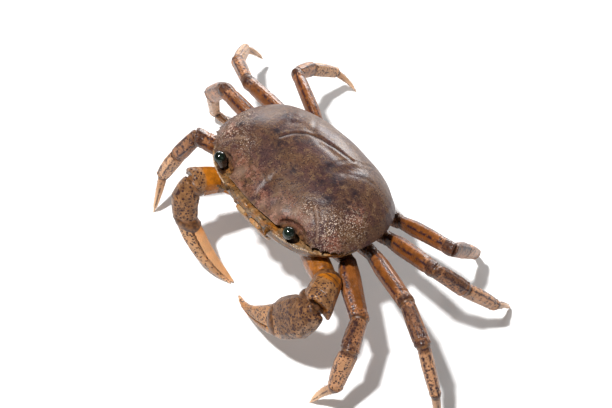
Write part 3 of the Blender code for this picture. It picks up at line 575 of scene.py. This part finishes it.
def dress_shell(data):
    points, normals = skin_of(data)
    own = in_shell(points)
    xy = own[:, :2]
    x, y, z = own.T
    top = step(0.10, 0.45, normals @ np.array(SHELL_PLACE.to_3x3()).T[2])
    shift = groove = crest = 0.0
    for line, depth, width, tint, sides in GROOVES:
        for side in sides:
            near = line_distance(xy * (side, 1), line)
            shift -= depth * bell(near, width)
            shift += depth * LIP_HEIGHT * bell(near - width * LIP_PLACE, width)
            groove = np.maximum(groove, tint * bell(near, width * 0.8))
    for line, height, width in CRESTS:
        for side in BOTH:
            near = line_distance(xy * (side, 1), line)
            shift += height * bell(near, width)
            crest = np.maximum(crest, bell(near, width * 0.6) * (height > WORN_CREST))
    for middle_x, middle_y, wide, long, height, sides in SWELLINGS:
        for side in sides:
            away = np.hypot((x - side * middle_x) / wide, (y - middle_y) / long)
            shift += height * bell(away, 1.0)
    set_points(data, pushed(points, normals, shift * top))
    front_edge = bell(z - 0.4, 0.32) * step(-12.0, -15.0, y) * step(10.5, 8.5, np.abs(x))
    # Worn pale crests, and pale spots of painted highlight near the front.
    crest_and_highlight = np.maximum(0.40 * crest, 0.42 * spots(xy, HIGHLIGHT_SPOTS)) * top
    # The socket mask lays painted shade low in the eye sockets.
    set_masks(data, rugose=spots(xy, RUGOSE, BOTH), groove=groove * top,
              blotch=spots(xy, BLOTCHES) * top, red=np.maximum(LEAST_RED, spots(xy, RED_PATCHES)),
              orbit=in_orbit(own) * step(0.9, -0.3, z), rim=np.maximum(0.6 * front_edge, crest_and_highlight))


shell_data = skin_mesh("carapace", 0.26)
dress_shell(shell_data)
shell = add_piece("carapace_plate", shell_data, shell_brown, "shell", "carapace")
print("carapace faces", len(shell.data.polygons))

# %% [markdown]
# ## The limbs
# Each limb is a chain: root, merus, carpus, propodus, dactyl. A joint is where the ends of two neighbours
# face each other, so it is measured on the skins. Along each segment a point then has a share of the
# length and an angle about the axis, and collars, keels and colours are written in those two.

# %% Joints and axes
# How near each other facing points lie, and how deep behind the nearest, in mm.
FACING_REACH, FACING_DEPTH = 0.9, 3.5
END_DEPTH = 0.6


def facing_point(first, second, last):
    """Middle of the facing ends of two neighbours near the last joint, and their main axes and reach."""
    found = []
    for one, other in ((first, second), (second, first)):
        tree = kdtree.KDTree(len(other))
        for i, place in enumerate(other):
            tree.insert(place, i)
        tree.balance()
        found += [place for place in one if tree.find(place)[2] < FACING_REACH * MM]
    found = np.array(found)
    away = np.linalg.norm(found - last, axis=1)
    found = found[away < away.min() + FACING_DEPTH * MM]
    middle = found.mean(axis=0)
    spread, axes = np.linalg.eigh(np.cov((found - middle).T))
    return middle, axes, np.sqrt(spread)


def far_end(points, from_place):
    """Middle of the end of a segment that lies furthest from a place."""
    away = np.linalg.norm(points - from_place, axis=1)
    return points[away > away.max() - END_DEPTH * MM].mean(axis=0)


def chain_skins(names, voxel):
    """Skins of a limb's segments, the places of its joints with the two free ends, and the joints."""
    skins = [skin_mesh(name, voxel) for name in names]
    clouds = [read_vectors(data.vertices, "co") for data in skins]
    joints = []
    last = clouds[0].mean(axis=0)
    for first, second in zip(clouds, clouds[1:]):
        joints.append(facing_point(first, second, last))
        last = joints[-1][0]
    middles = [middle for middle, _, _ in joints]
    return skins, [far_end(clouds[0], middles[0]), *middles, far_end(clouds[-1], last)], joints


def segment_frame(points, start, end, twist):
    """Share along and angle about the axis of each point, with the axis and its length."""
    axis = end - start
    length = np.linalg.norm(axis)
    axis = axis / length
    heading = math.atan2(axis[0], -axis[1])
    side = np.array([math.cos(heading), math.sin(heading), 0.0])
    up = np.cross(side, axis)
    up = up / np.linalg.norm(up)
    if up[2] < 0:
        up = -up
    turn = np.array(Matrix.Rotation(math.radians(twist), 3, Vector(axis)))
    along = (points - start) @ axis
    radial = points - start - along[:, None] * axis
    return along / length, np.arctan2(radial @ (turn @ side), radial @ (turn @ up)), axis, length


print("limb helpers ready")

# %% [markdown]
# ## The walking legs
# The merus carries a dark broken line on its upper keel, the carpus is the darkest part, the propodus has
# two fine ribs with dark lines, and the dactyl is a pale slender spike with ribs that end in a horn tip.
# Ribs could be loops of edges, but written over the angle they follow the segment by themselves.

# %% Shape and masks of a leg segment
# How far the upper side is turned outwards, in degrees, for each pair of legs.
LEG_TWIST = {"1": 40, "2": 20, "3": 10, "4": 10}
LEG_PARTS = ("coxa", "merus", "carpus", "propodus", "dactyl")
LEG_VOXEL = 0.22
# The keel of a merus has 12 low teeth, as a wave of that many radians over its length.
KEEL_WAVE = 75
TIP_TAPER = 0.55


def ribs(angle, at, width):
    """Closeness to a set of lines that run along a segment at the given angles."""
    out = 0.0
    for line in at:
        gap = np.abs((angle - math.radians(line) + math.pi) % (2 * math.pi) - math.pi)
        out = np.maximum(out, bell(gap, width))
    return out


def dress_leg_segment(data, part, start, end, twist, phase):
    """Collar, keels, ribs and masks of one segment. The twist is negative on right legs."""
    points, normals = skin_of(data)
    share, angle, axis, length = segment_frame(points, start, end, twist)
    upper = 0.5 + 0.5 * np.cos(angle)
    collar = 0.0 if part == "dactyl" else step(0.90, 0.97, share)
    # The long foot of a merus is painted shade where the leg leaves the body. On the other segments the foot
    # is a dark joint.
    foot = step(0.26, 0.05, share) if part == "merus" else step(0.10, 0.03, share)
    shift = 0.10 * collar - 0.12 * bell(share - 0.88, 0.02)
    dark = 0.75 * collar * upper + 0.65 * foot
    line = pale = 0.0
    middle = step(0.02, 0.12, share) * step(0.99, 0.93, share)
    if part == "coxa":
        # A coxa is darkened as painted shade under the body.
        tone = 0.75
        dark = 0.55 + 0.3 * collar
    elif part == "merus":
        keel = ribs(angle, (0,), 0.20)
        teeth = 0.5 + 0.5 * np.sin(share * KEEL_WAVE + phase)
        shift += middle * keel * (0.14 + 0.03 * teeth)
        line = ribs(angle, (14, -24), 0.12) * middle
        tone = 0.10 + 0.20 * keel + 0.40 * step(0.76, 0.97, share)
    elif part == "carpus":
        rib = ribs(angle, (-28, 30), 0.16)
        shift += middle * rib * 0.16
        line = 0.9 * rib * middle
        dark = np.maximum(dark, (0.30 if twist < 0 else 0.62) * middle * upper)
        tone = 0.70 + 0.30 * np.cos(angle)
    elif part == "propodus":
        rib = ribs(angle, (-32, 32, 150, -150), 0.15)
        valley = ribs(angle, (0, 180, 90, -90), 0.22)
        shift += middle * (0.13 * rib - 0.10 * valley)
        line = ribs(angle, (-20, 22), 0.12) * middle
        tone = 0.60 + 0.20 * np.cos(angle)
        pale = (0.52 if twist < 0 else 0.22) * middle
    else:
        rib = ribs(angle, (-40, 40, 140, -140), 0.20)
        valley = ribs(angle, (0, 180, 90, -90), 0.25)
        middle = step(0.05, 0.18, share) * step(0.98, 0.85, share)
        shift += middle * (0.08 * rib - 0.10 * valley)
        line = ribs(angle, (0, 90, -90), 0.16) * middle * step(0.95, 0.75, share)
        tone = 0.30 - 0.30 * step(0.0, 0.6, share)
        pale = 0.45 + 0.50 * step(0.10, 0.7, share)
        dark = 0.6 * foot
        bristle = ribs(angle, (0, 90, -90, 180), 0.22) * middle * step(0.92, 0.70, share)
        set_masks(data, bristle=bristle)
    moved = pushed(points, normals, shift)
    if part == "dactyl":
        centre = start + share[:, None] * length * axis
        moved = centre + (moved - centre) * (1.0 - TIP_TAPER * step(0.80, 1.0, share))[:, None]
        moved[:, 2] = np.maximum(moved[:, 2], 0.0)
    set_points(data, moved)
    set_masks(data, tone=tone, dark=dark, line=line, pale=pale)


print("leg dressing ready")

# %% The eight legs
dactyls, leg_joints = [], []
for side_name, side in SIDES.items():
    for number, twist in LEG_TWIST.items():
        names = [f"{part}_{side_name}_{number}" for part in LEG_PARTS]
        skins, ends, joints = chain_skins(names, LEG_VOXEL)
        leg_joints += joints
        for i, (part, name, data) in enumerate(zip(LEG_PARTS, names, skins)):
            turned = 0 if part == "coxa" else side * twist
            dress_leg_segment(data, part, ends[i], ends[i + 1], turned, i + int(number))
            plate = add_piece(name + "_plate", data, leg_chitin, "legs", name)
        dactyls.append((plate, Vector(ends[-1] - ends[-2]).normalized()))
print("leg pieces", len(dactyls) * len(LEG_PARTS), "leg joints", len(leg_joints))

# %% [markdown]
# ## The claws
# The big pincers are two limbs with a swollen palm. Their outer faces are brown with dense dark specks,
# the inner faces and the arm are bright orange, and the fingers end in pale horn.

# %% Shape and masks of the claws
CLAW_PARTS = ("coxa", "merus", "carpus", "palm", "dactyl")
CLAW_VOXEL = 0.25
# Direction from the lower edge of each palm to its back.
HINGE_SIDE = {"left": (-0.58, 0.53, 0.60), "right": (-0.74, -0.65, 0.13)}


def dress_claw_segment(data, part, side_name, start, end):
    points, normals = skin_of(data)
    share, _, axis, _ = segment_frame(points, start, end, 0)
    hinge = np.array(HINGE_SIDE[side_name])
    hinge = hinge - axis * (hinge @ axis)
    dorsal = normals @ (hinge / np.linalg.norm(hinge))
    upward = normals[:, 2]
    left = side_name == "left"
    collar = step(0.88, 0.97, share)
    shift = dark = pale = 0.0
    if part == "coxa":
        # The claw's coxa is darkened as painted shade under the body.
        tone, dark = 0.4, 0.45
    elif part == "merus":
        shift = 0.14 * collar - 0.15 * bell(share - 0.86, 0.025)
        tone = 0.02 + 0.60 * step(0.88, 0.99, share) * (0.3 + 0.7 * np.clip(upward, 0, 1))
        dark = 0.55 * bell(share - 0.87, 0.02) + 0.5 * step(0.12, 0.03, share)
        # All over the left claw's arm: painted shade of the body.
        dark = np.maximum(dark, 0.48 if left else 0.0)
    elif part == "carpus":
        shift = 0.12 * collar
        if left:
            tone = 0.15 + 0.80 * np.clip(upward + 0.3, 0, 1) * step(0.15, 0.45, share)
        else:
            tone = 0.05 + 0.75 * step(0.62, 0.88, share)
        # The left carpus too gets painted shade of the body.
        dark = np.maximum(0.34 if left else 0.0, 0.7 * bell(share - 0.06, 0.04) + 0.45 * collar)
    elif part == "palm":
        palm = step(1.06, 0.92, share)
        finger = step(0.95, 1.25, share)
        if left:
            tone = 1.0 - 0.40 * finger
        else:
            tone = palm * (0.75 + 0.25 * dorsal) + (1 - palm) * 0.06
        dark = (0.56 if left else 0.48) * step(1.0, 0.85, share)
        dark = np.maximum(0.45 * bell(share - 0.02, 0.05), dark)
        pale = 0.9 * step(1.95, 2.35, share) + 0.45 * step(-0.45, -0.9, dorsal)
        pale = np.maximum(pale, (0.0 if left else 0.50) * finger)
    else:
        tone = 0.65 - 0.20 * step(0.4, 1.0, share)
        dark = 0.40 * bell(share, 0.05)
        pale = (0.10 if left else 0.28) + 0.7 * step(0.82, 1.0, share)
    set_points(data, pushed(points, normals, shift))
    set_masks(data, tone=tone, dark=dark, line=0.0, pale=pale)


claw_joints = []
for side_name in SIDES:
    names = [f"{part}_claw_{side_name}" for part in CLAW_PARTS]
    skins, ends, joints = chain_skins(names, CLAW_VOXEL)
    claw_joints += joints
    for i, (part, name, data) in enumerate(zip(CLAW_PARTS, names, skins)):
        dress_claw_segment(data, part, side_name, ends[i], ends[i + 1])
        add_piece(name + "_plate", data, claw_chitin, "claws", name)
print("claw pieces", len(SIDES) * len(CLAW_PARTS))

# %% [markdown]
# ## Skin in the joints
# Between two hard segments lies soft brown skin. Only a rim of it shows, so there is no need to simulate
# it: a squashed ball fills the gap from inside, with a few folds round it.

# %% Joint skin
# Half size of a ball in spreads of the facing ends, and its least thickness.
LEG_FULLNESS, CLAW_FULLNESS = 1.78, 2.15
LEAST_THICKNESS = 0.375


def fold_ball(bm, middle, axes, spread, fullness):
    """Flattened wrinkled ball across a joint, about as wide as the facing ends."""
    made = bmesh.ops.create_icosphere(bm, subdivisions=3, radius=1.0)
    thin, short, long = spread * fullness
    radii = np.array([max(thin, LEAST_THICKNESS * fullness * short), short, long])
    for vert in made["verts"]:
        fold = 1.0 + 0.025 * math.sin(vert.co.x * 24.0) + 0.015 * math.sin(vert.co.z * 17.0)
        vert.co = Vector(middle + axes @ (np.array(vert.co) * radii * fold))


bm = bmesh.new()
for joints, fullness in ((leg_joints, LEG_FULLNESS), (claw_joints, CLAW_FULLNESS)):
    for joint in joints:
        fold_ball(bm, *joint, fullness)
add_piece("joint_skins", mesh_of(bm, "joint_skin"), joint_skin, "legs")
print("joints filled", len(leg_joints) + len(claw_joints))

# %% [markdown]
# ## Trunk, mouth and tail flap
# Under the shell are the flanks and the breast. The front of the trunk is the crab's face: a pale beaded
# rim under each eye socket, and the mouth frame closed by two broad mouth legs. The breast shows the
# seams between its plates, and the narrow tail flap of a male is folded forward into it.

# %% Shape and masks of the trunk
BREAST_SEAMS = (-8.5, -3.5, 1.5, 6.0, 10.5)
MOUTH_HALF_GAP, MOUTH_HEIGHT, MOUTH_RADIUS = 2.6, -8.0, 3.4


def dress_trunk(data):
    points, normals = skin_of(data)
    own = in_shell(points)
    x, y, z = np.abs(own[:, 0]), own[:, 1], own[:, 2]
    facing = normals[:, 2]
    under = step(-0.2, -0.7, facing)
    front = step(-9.0, -13.0, y)
    seams = 0.0
    for place in BREAST_SEAMS:
        seams = np.maximum(seams, bell(y - place - 0.16 * x, 0.35) * step(2.2, 3.5, x))
    seams = seams * under
    flank = bell(z + 3.4 + 0.10 * y, 0.45) * step(-0.1, 0.2, 1 - np.abs(facing)) * (1 - front)
    ledge = bell(z + 1.7, 0.40) * front * step(7.5, 9.0, x)
    brow = bell(z + 2.4, 0.40) * front * step(8.0, 6.5, x)
    mouth = bell(np.hypot(x - MOUTH_HALF_GAP, 0.45 * (z - MOUTH_HEIGHT)) - MOUTH_RADIUS, 0.35) * front
    shift = 0.28 * ledge + 0.30 * brow + 0.25 * mouth - 0.22 * seams - 0.25 * flank
    set_points(data, pushed(points, normals, shift))
    # Painted shade: the rear of the underside, where it faces down, is darkened.
    rear_underside_shade = step(-6.0, 2.0, y) * step(0.3, -0.2, facing)
    furrows = np.maximum(bell(z + 3.3, 0.30), 0.7 * bell(z + 1.3, 0.28)) * front * (1 - 0.7 * ledge)
    # Dark mask: seams, flank and face furrows, mottling of the face, and painted shade under the rear and in
    # the sockets.
    dark = np.max([0.8 * seams, 0.85 * flank, 0.75 * rear_underside_shade, 0.60 * furrows, 0.8 * in_orbit(own),
                   0.47 * front], axis=0)
    set_masks(data, dark=dark, pale=np.max([0.55 * ledge, 0.10 * brow, 0.35 * mouth], axis=0))


trunk_data = skin_mesh("thorax", 0.28)
dress_trunk(trunk_data)
add_piece("trunk_plates", trunk_data, trunk_ochre, "underside", "thorax")
print("trunk faces", len(trunk_data.polygons))

# %% Tail flap and mouth legs
# Cross seams: their places along y on the flap, and along z on a mouth leg.
FLAP_SEAMS, MOUTH_SEAMS = (-4.2, -1.0, 2.4, 5.6, 8.6, 11.6), (-8.9,)
SEAM_DEPTH, SEAM_WIDTH = 0.16, 0.22


def add_small_plate(name, node_name, slot_name, voxel, seams_at, axis):
    """Plate with cross seams at the given places along an axis of the shell's frame."""
    data = skin_mesh(node_name, voxel)
    points, normals = skin_of(data)
    own = in_shell(points)
    seam = np.max([bell(own[:, axis] - at, SEAM_WIDTH) for at in seams_at], axis=0)
    set_points(data, pushed(points, normals, -SEAM_DEPTH * seam))
    set_masks(data, dark=0.7 * seam, pale=0.25 * (1 - seam))
    add_piece(name, data, trunk_ochre, slot_name, node_name)


add_small_plate("tail_flap", "abdomen", "underside", 0.22, FLAP_SEAMS, 1)
for side_name in SIDES:
    add_small_plate("mouth_leg_" + side_name, "maxilliped_" + side_name, "mouthparts", 0.18, MOUTH_SEAMS, 2)
print("flap and mouth legs done")

# %% [markdown]
# ## Eyes and feelers
# An eye is a near-black ball on a short stalk that stands in its socket. The ball is smooth and wet, so it
# gets a clear coat and the finest relief. The feelers are thin ringed whips beside the front.

# %% Eyes
# Middle of the ball and foot of the stalk, in the shell's frame.
EYES = {"left": ((13.1, -16.2, 1.55), (12.2, -15.6, -0.35)),
        "right": ((-14.3, -15.2, 1.6), (-13.0, -15.0, -0.3))}
BALL_RADIUS, BALL_STRETCH = 1.5, 1.03
# Height on a unit ball where the stalk begins. On the stalk, in mm: its top, length, and two radii.
NECK = -0.35
STALK_TOP, STALK_LENGTH, STALK_RADII = -0.53, 1.9, (1.40, 0.90)


def eye_mesh(centre, foot):
    """Ball with a stalk that swells into it."""
    centre = SHELL_PLACE @ (Vector(centre) * MM)
    foot = SHELL_PLACE @ (Vector(foot) * MM)
    turn = (centre - foot).normalized().to_track_quat("Z", "Y").to_matrix()
    bm = bmesh.new()
    bmesh.ops.create_uvsphere(bm, u_segments=48, v_segments=32, radius=1.0)
    shade = []
    for vert in bm.verts:
        x, y, z = vert.co
        if z > NECK:
            place = Vector((x, y, z * BALL_STRETCH)) * BALL_RADIUS
            shade.append(0.0)
        else:
            t = (NECK - z) / (1.0 + NECK)
            width = STALK_RADII[0] * (1 - t) + STALK_RADII[1] * t
            tail = Vector((x, y, 0.0)).normalized() * width * (1.0 if t < 0.98 else 0.0)
            place = Vector((tail.x, tail.y, STALK_TOP - STALK_LENGTH * t))
            shade.append(min(1.0, t * 5.0))
        vert.co = centre + turn @ (place * MM)
    data = mesh_of(bm, "eye")
    set_masks(data, dark=shade)
    return data


for side_name, (centre, foot) in EYES.items():
    add_piece("eye_ball_" + side_name, eye_mesh(centre, foot), eye_dark, "eyes", "eye_" + side_name)
print("eyes done")

# %% Feelers
# Path of the left feeler in the shell's frame, its rings, and its radius in mm at the root and at the tip.
FEELER_PATH = [(7.6, -17.4, -1.7), (7.9, -18.2, -1.5), (8.4, -19.0, -1.2), (9.1, -19.7, -0.8)]
FEELER_RINGS, FEELER_ROOT, FEELER_TIP = 25, 0.62, 0.26
TUBE_SIDES = 10


def tube_mesh(name, path, radii):
    """Closed tube along a path of points."""
    bm = bmesh.new()
    rows = []
    for i, place in enumerate(path):
        ahead = (path[min(i + 1, len(path) - 1)] - path[max(i - 1, 0)]).normalized()
        first = ahead.orthogonal().normalized()
        second = ahead.cross(first)
        turns = [2 * math.pi * k / TUBE_SIDES for k in range(TUBE_SIDES)]
        rows.append([bm.verts.new(place + (first * math.cos(turn) + second * math.sin(turn)) * radii[i])
                     for turn in turns])
    for row, following in zip(rows, rows[1:]):
        for k in range(TUBE_SIDES):
            after = (k + 1) % TUBE_SIDES
            bm.faces.new((row[k], row[after], following[after], following[k]))
    bm.faces.new(rows[0][::-1])
    bm.faces.new(rows[-1])
    bmesh.ops.recalc_face_normals(bm, faces=bm.faces)
    return mesh_of(bm, name)


def shell_path(knots, side, count):
    """Even path through knots of the shell's frame, mirrored for side -1, in metres of the scene."""
    knots = np.array(knots) * (side, 1, 1)
    steps = np.linspace(0, len(knots) - 1, count)
    path = np.stack([np.interp(steps, range(len(knots)), knots[:, i]) for i in range(3)], axis=1)
    return [SHELL_PLACE @ (Vector(p) * MM) for p in path]


last_ring = FEELER_RINGS - 1
radii = [(FEELER_ROOT - (FEELER_ROOT - FEELER_TIP) * i / last_ring) * (1.0 + 0.10 * (i % 2)) * MM
         for i in range(FEELER_RINGS)]
for side_name, side in SIDES.items():
    feeler = tube_mesh("feeler", shell_path(FEELER_PATH, side, FEELER_RINGS), radii)
    set_masks(feeler, pale=0.0, dark=0.55)
    add_piece("feeler_" + side_name, feeler, trunk_ochre, "feelers", "antenna_" + side_name)
print("feelers done")

# %% [markdown]
# ## Beads and bristles by Geometry Nodes
# What repeats is grown by node trees, since nobody places thousands of pieces by hand. One tree threads
# beads on a line: the rims of the sockets and of the side margin. Another scatters small shapes where a
# mask allows it: granules on the rough grounds of the back, and bristles on the ribs of the dactyls.


# %% Node tree helpers
def new_tree(name, inputs):
    """Geometry node group with these inputs, and the ends of its tree."""
    tree = bpy.data.node_groups.new(name, "GeometryNodeTree")
    tree.interface.new_socket("Geometry", in_out="INPUT", socket_type="NodeSocketGeometry")
    for label, value in inputs.items():
        kind = "Material" if value is None else "Vector" if isinstance(value, tuple) else "Float"
        made = tree.interface.new_socket(label, in_out="INPUT", socket_type="NodeSocket" + kind)
        if value is not None:
            made.default_value = value
    tree.interface.new_socket("Geometry", in_out="OUTPUT", socket_type="NodeSocketGeometry")
    return tree, tree.nodes.new("NodeGroupInput").outputs, tree.nodes.new("NodeGroupOutput").inputs


def finish_tree(tree, ends, instances, look):
    """Realizes instances and gives them their finish."""
    real = add_node(tree, "GeometryNodeRealizeInstances", {"Geometry": instances})
    final = add_node(tree, "GeometryNodeSetMaterial", {"Geometry": real.outputs[0], "Material": look})
    tree.links.new(final.outputs[0], ends[0])


def grow(host_data, tree, values):
    """Plain mesh that a node tree makes from a host mesh with these inputs."""
    holder = new_object("holder", host_data)
    nodes = holder.modifiers.new("grow", "NODES")
    nodes.node_group = tree
    for item in tree.interface.items_tree:
        if item.in_out == "INPUT" and item.name in values:
            nodes[item.identifier] = values[item.name]
    return evaluated_mesh(holder)


print("node tree helpers ready")

# %% Tree: beads on a line
BEAD_SEED, SPOT_SEED, STRAY_SEED, SIZE_SEED = 11, 5, 7, 3


def make_bead_tree():
    """Balls of uneven size, evenly spaced on a line."""
    tree, given, ends = new_tree("beads_on_a_line", {
        "Spacing": 0.5 * MM, "Radius": 0.2 * MM, "Uneven": 0.3, "Finish": None})
    curve = add_node(tree, "GeometryNodeMeshToCurve", {"Mesh": given["Geometry"]})
    even = add_node(tree, "GeometryNodeResampleCurve",
                    {"Curve": curve.outputs[0], "Length": given["Spacing"]}, mode="LENGTH")
    ball = add_node(tree, "GeometryNodeMeshIcoSphere", {"Radius": given["Radius"], "Subdivisions": 2})
    least = math_of(tree, "SUBTRACT", 1.0, given["Uneven"])
    size = add_node(tree, "FunctionNodeRandomValue", {2: least, 3: 1.0, "Seed": BEAD_SEED}, data_type="FLOAT")
    beads = add_node(tree, "GeometryNodeInstanceOnPoints",
                     {"Points": even.outputs[0], "Instance": ball.outputs[0], "Scale": size.outputs[1]})
    finish_tree(tree, ends, beads.outputs[0], given["Finish"])
    return tree


bead_tree = make_bead_tree()
print("tree", bead_tree.name, "with", len(bead_tree.nodes), "nodes")

# %% Tree: small shapes scattered on a surface
STRAY = 0.25
LEAST_SIZE, LARGEST_SIZE = 0.65, 1.1


def make_scatter_tree(name, mask_name, round_shape):
    """Granules or bristles on a surface, as dense as the mask says, leaning by a vector."""
    tree, given, ends = new_tree(name, {
        "Gap": 0.3 * MM, "Density": 8.0e6, "Radius": 0.1 * MM, "Length": 0.6 * MM,
        "Lean": (0.0, 0.0, 0.0), "Finish": None})
    where = add_node(tree, "GeometryNodeInputNamedAttribute", {"Name": mask_name}, data_type="FLOAT")
    found = add_node(tree, "GeometryNodeDistributePointsOnFaces", {
        "Mesh": given["Geometry"], "Distance Min": given["Gap"], "Density Max": given["Density"],
        "Density Factor": where.outputs[0], "Seed": SPOT_SEED}, distribute_method="POISSON")
    astray = add_node(tree, "FunctionNodeRandomValue",
                      {0: (-STRAY,) * 3, 1: (STRAY,) * 3, "Seed": STRAY_SEED}, data_type="FLOAT_VECTOR")
    leaning = vector_of(tree, "ADD", found.outputs["Normal"], given["Lean"])
    way = vector_of(tree, "ADD", leaning, astray.outputs[0])
    turn = add_node(tree, "FunctionNodeAlignRotationToVector", {"Vector": way}, axis="Z")
    if round_shape:
        one = add_node(tree, "GeometryNodeMeshIcoSphere", {"Radius": given["Radius"], "Subdivisions": 1})
    else:
        one = add_node(tree, "GeometryNodeMeshCone", {
            "Vertices": 5, "Radius Top": 0.0, "Radius Bottom": given["Radius"], "Depth": given["Length"]})
    size = add_node(tree, "FunctionNodeRandomValue", {2: LEAST_SIZE, 3: LARGEST_SIZE, "Seed": SIZE_SEED},
                    data_type="FLOAT")
    many = add_node(tree, "GeometryNodeInstanceOnPoints", {
        "Points": found.outputs["Points"], "Instance": one.outputs[0], "Rotation": turn.outputs[0],
        "Scale": size.outputs[1]})
    finish_tree(tree, ends, many.outputs[0], given["Finish"])
    return tree


granule_tree = make_scatter_tree("granules", "rugose", True)
bristle_tree = make_scatter_tree("bristles", "bristle", False)
print("trees", granule_tree.name, bristle_tree.name)

# %% Bristles of the dactyls
BRISTLES = {"Gap": 0.34 * MM, "Density": 7.0e6, "Radius": 0.055 * MM, "Length": 0.8 * MM,
            "Finish": bristle_brown}
BRISTLE_LEAN = 1.3
BRISTLE_FACES, GRANULE_FACES, BEAD_FACES = 6, 20, 80


def joined(meshes):
    bm = bmesh.new()
    for data in meshes:
        bm.from_mesh(data)
    return mesh_of(bm, "joined")


tufts = joined([grow(plate.data, bristle_tree, {**BRISTLES, "Lean": tuple(way * BRISTLE_LEAN)})
                for plate, way in dactyls])
add_piece("dactyl_bristles", tufts, bristle_brown, "legs")
print("bristles", len(tufts.polygons) // BRISTLE_FACES)

# %% Granules of the back
granules = grow(shell.data, granule_tree, {"Gap": 0.42 * MM, "Density": 4.0e6, "Radius": 0.13 * MM,
                                           "Finish": shell_brown})
add_piece("shell_granules", granules, shell_brown, "shell")
print("granules", len(granules.polygons) // GRANULE_FACES)

# %% Beaded rims
from mathutils.bvhtree import BVHTree

# Knots in the shell's frame, points on the line, and the bead tree's inputs.
SOCKET_RIM = [(18.4, -14.4, -1.2), (16.6, -15.7, -1.3), (14.4, -16.6, -1.4), (12.0, -17.4, -1.4),
              (9.6, -17.9, -1.5)]
MARGIN_RIM = [(18.6, -13.0, 0.2), (20.6, -11.6, -0.1), (22.6, -9.6, -0.3), (24.0, -7.0, -0.4),
              (24.9, -3.4, -0.5)]
RIMS = {"socket_rims": (trunk_data, SOCKET_RIM, 60,
                        {"Spacing": 0.44 * MM, "Radius": 0.22 * MM, "Finish": bead_pale}),
        "margin_rims": (shell.data, MARGIN_RIM, 80,
                        {"Spacing": 0.52 * MM, "Radius": 0.20 * MM, "Uneven": 0.5, "Finish": bead_brown})}


def line_on(host_data, knots, side, count):
    """Mesh line through knots of the shell's frame, laid on the surface of a mesh."""
    corners, faces = [v.co for v in host_data.vertices], [p.vertices for p in host_data.polygons]
    surface = BVHTree.FromPolygons(corners, faces)
    laid = [tuple(surface.find_nearest(place)[0]) for place in shell_path(knots, side, count)]
    data = bpy.data.meshes.new("line")
    data.from_pydata(laid, [(i, i + 1) for i in range(count - 1)], [])
    return data


for name, (host_data, knots, count, values) in RIMS.items():
    rims = joined([grow(line_on(host_data, knots, side, count), bead_tree, values) for side in BOTH])
    add_piece(name, rims, values["Finish"], "shell")
    print(name, len(rims.polygons) // BEAD_FACES, "beads")

# %% [markdown]
# ## Floor and closing
# The floor is plain and pale.

# %% Floor
FLOOR_HALF = 3
FLOOR_COLOUR, FLOOR_ROUGHNESS = (0.86, 0.86, 0.86, 1.0), 0.7
corners = [(x * FLOOR_HALF, y * FLOOR_HALF, 0) for x, y in ((-1, -1), (1, -1), (1, 1), (-1, 1))]
floor_data = bpy.data.meshes.new("floor")
floor_data.from_pydata(corners, [], [(0, 1, 2, 3)])
floor = new_object("floor", floor_data)
floor_look, floor_tree = finish_of("floor_pale", FLOOR_ROUGHNESS)
floor_tree.nodes["Principled BSDF"].inputs["Base Color"].default_value = FLOOR_COLOUR
floor_data.materials.append(floor_look)
print("floor placed")
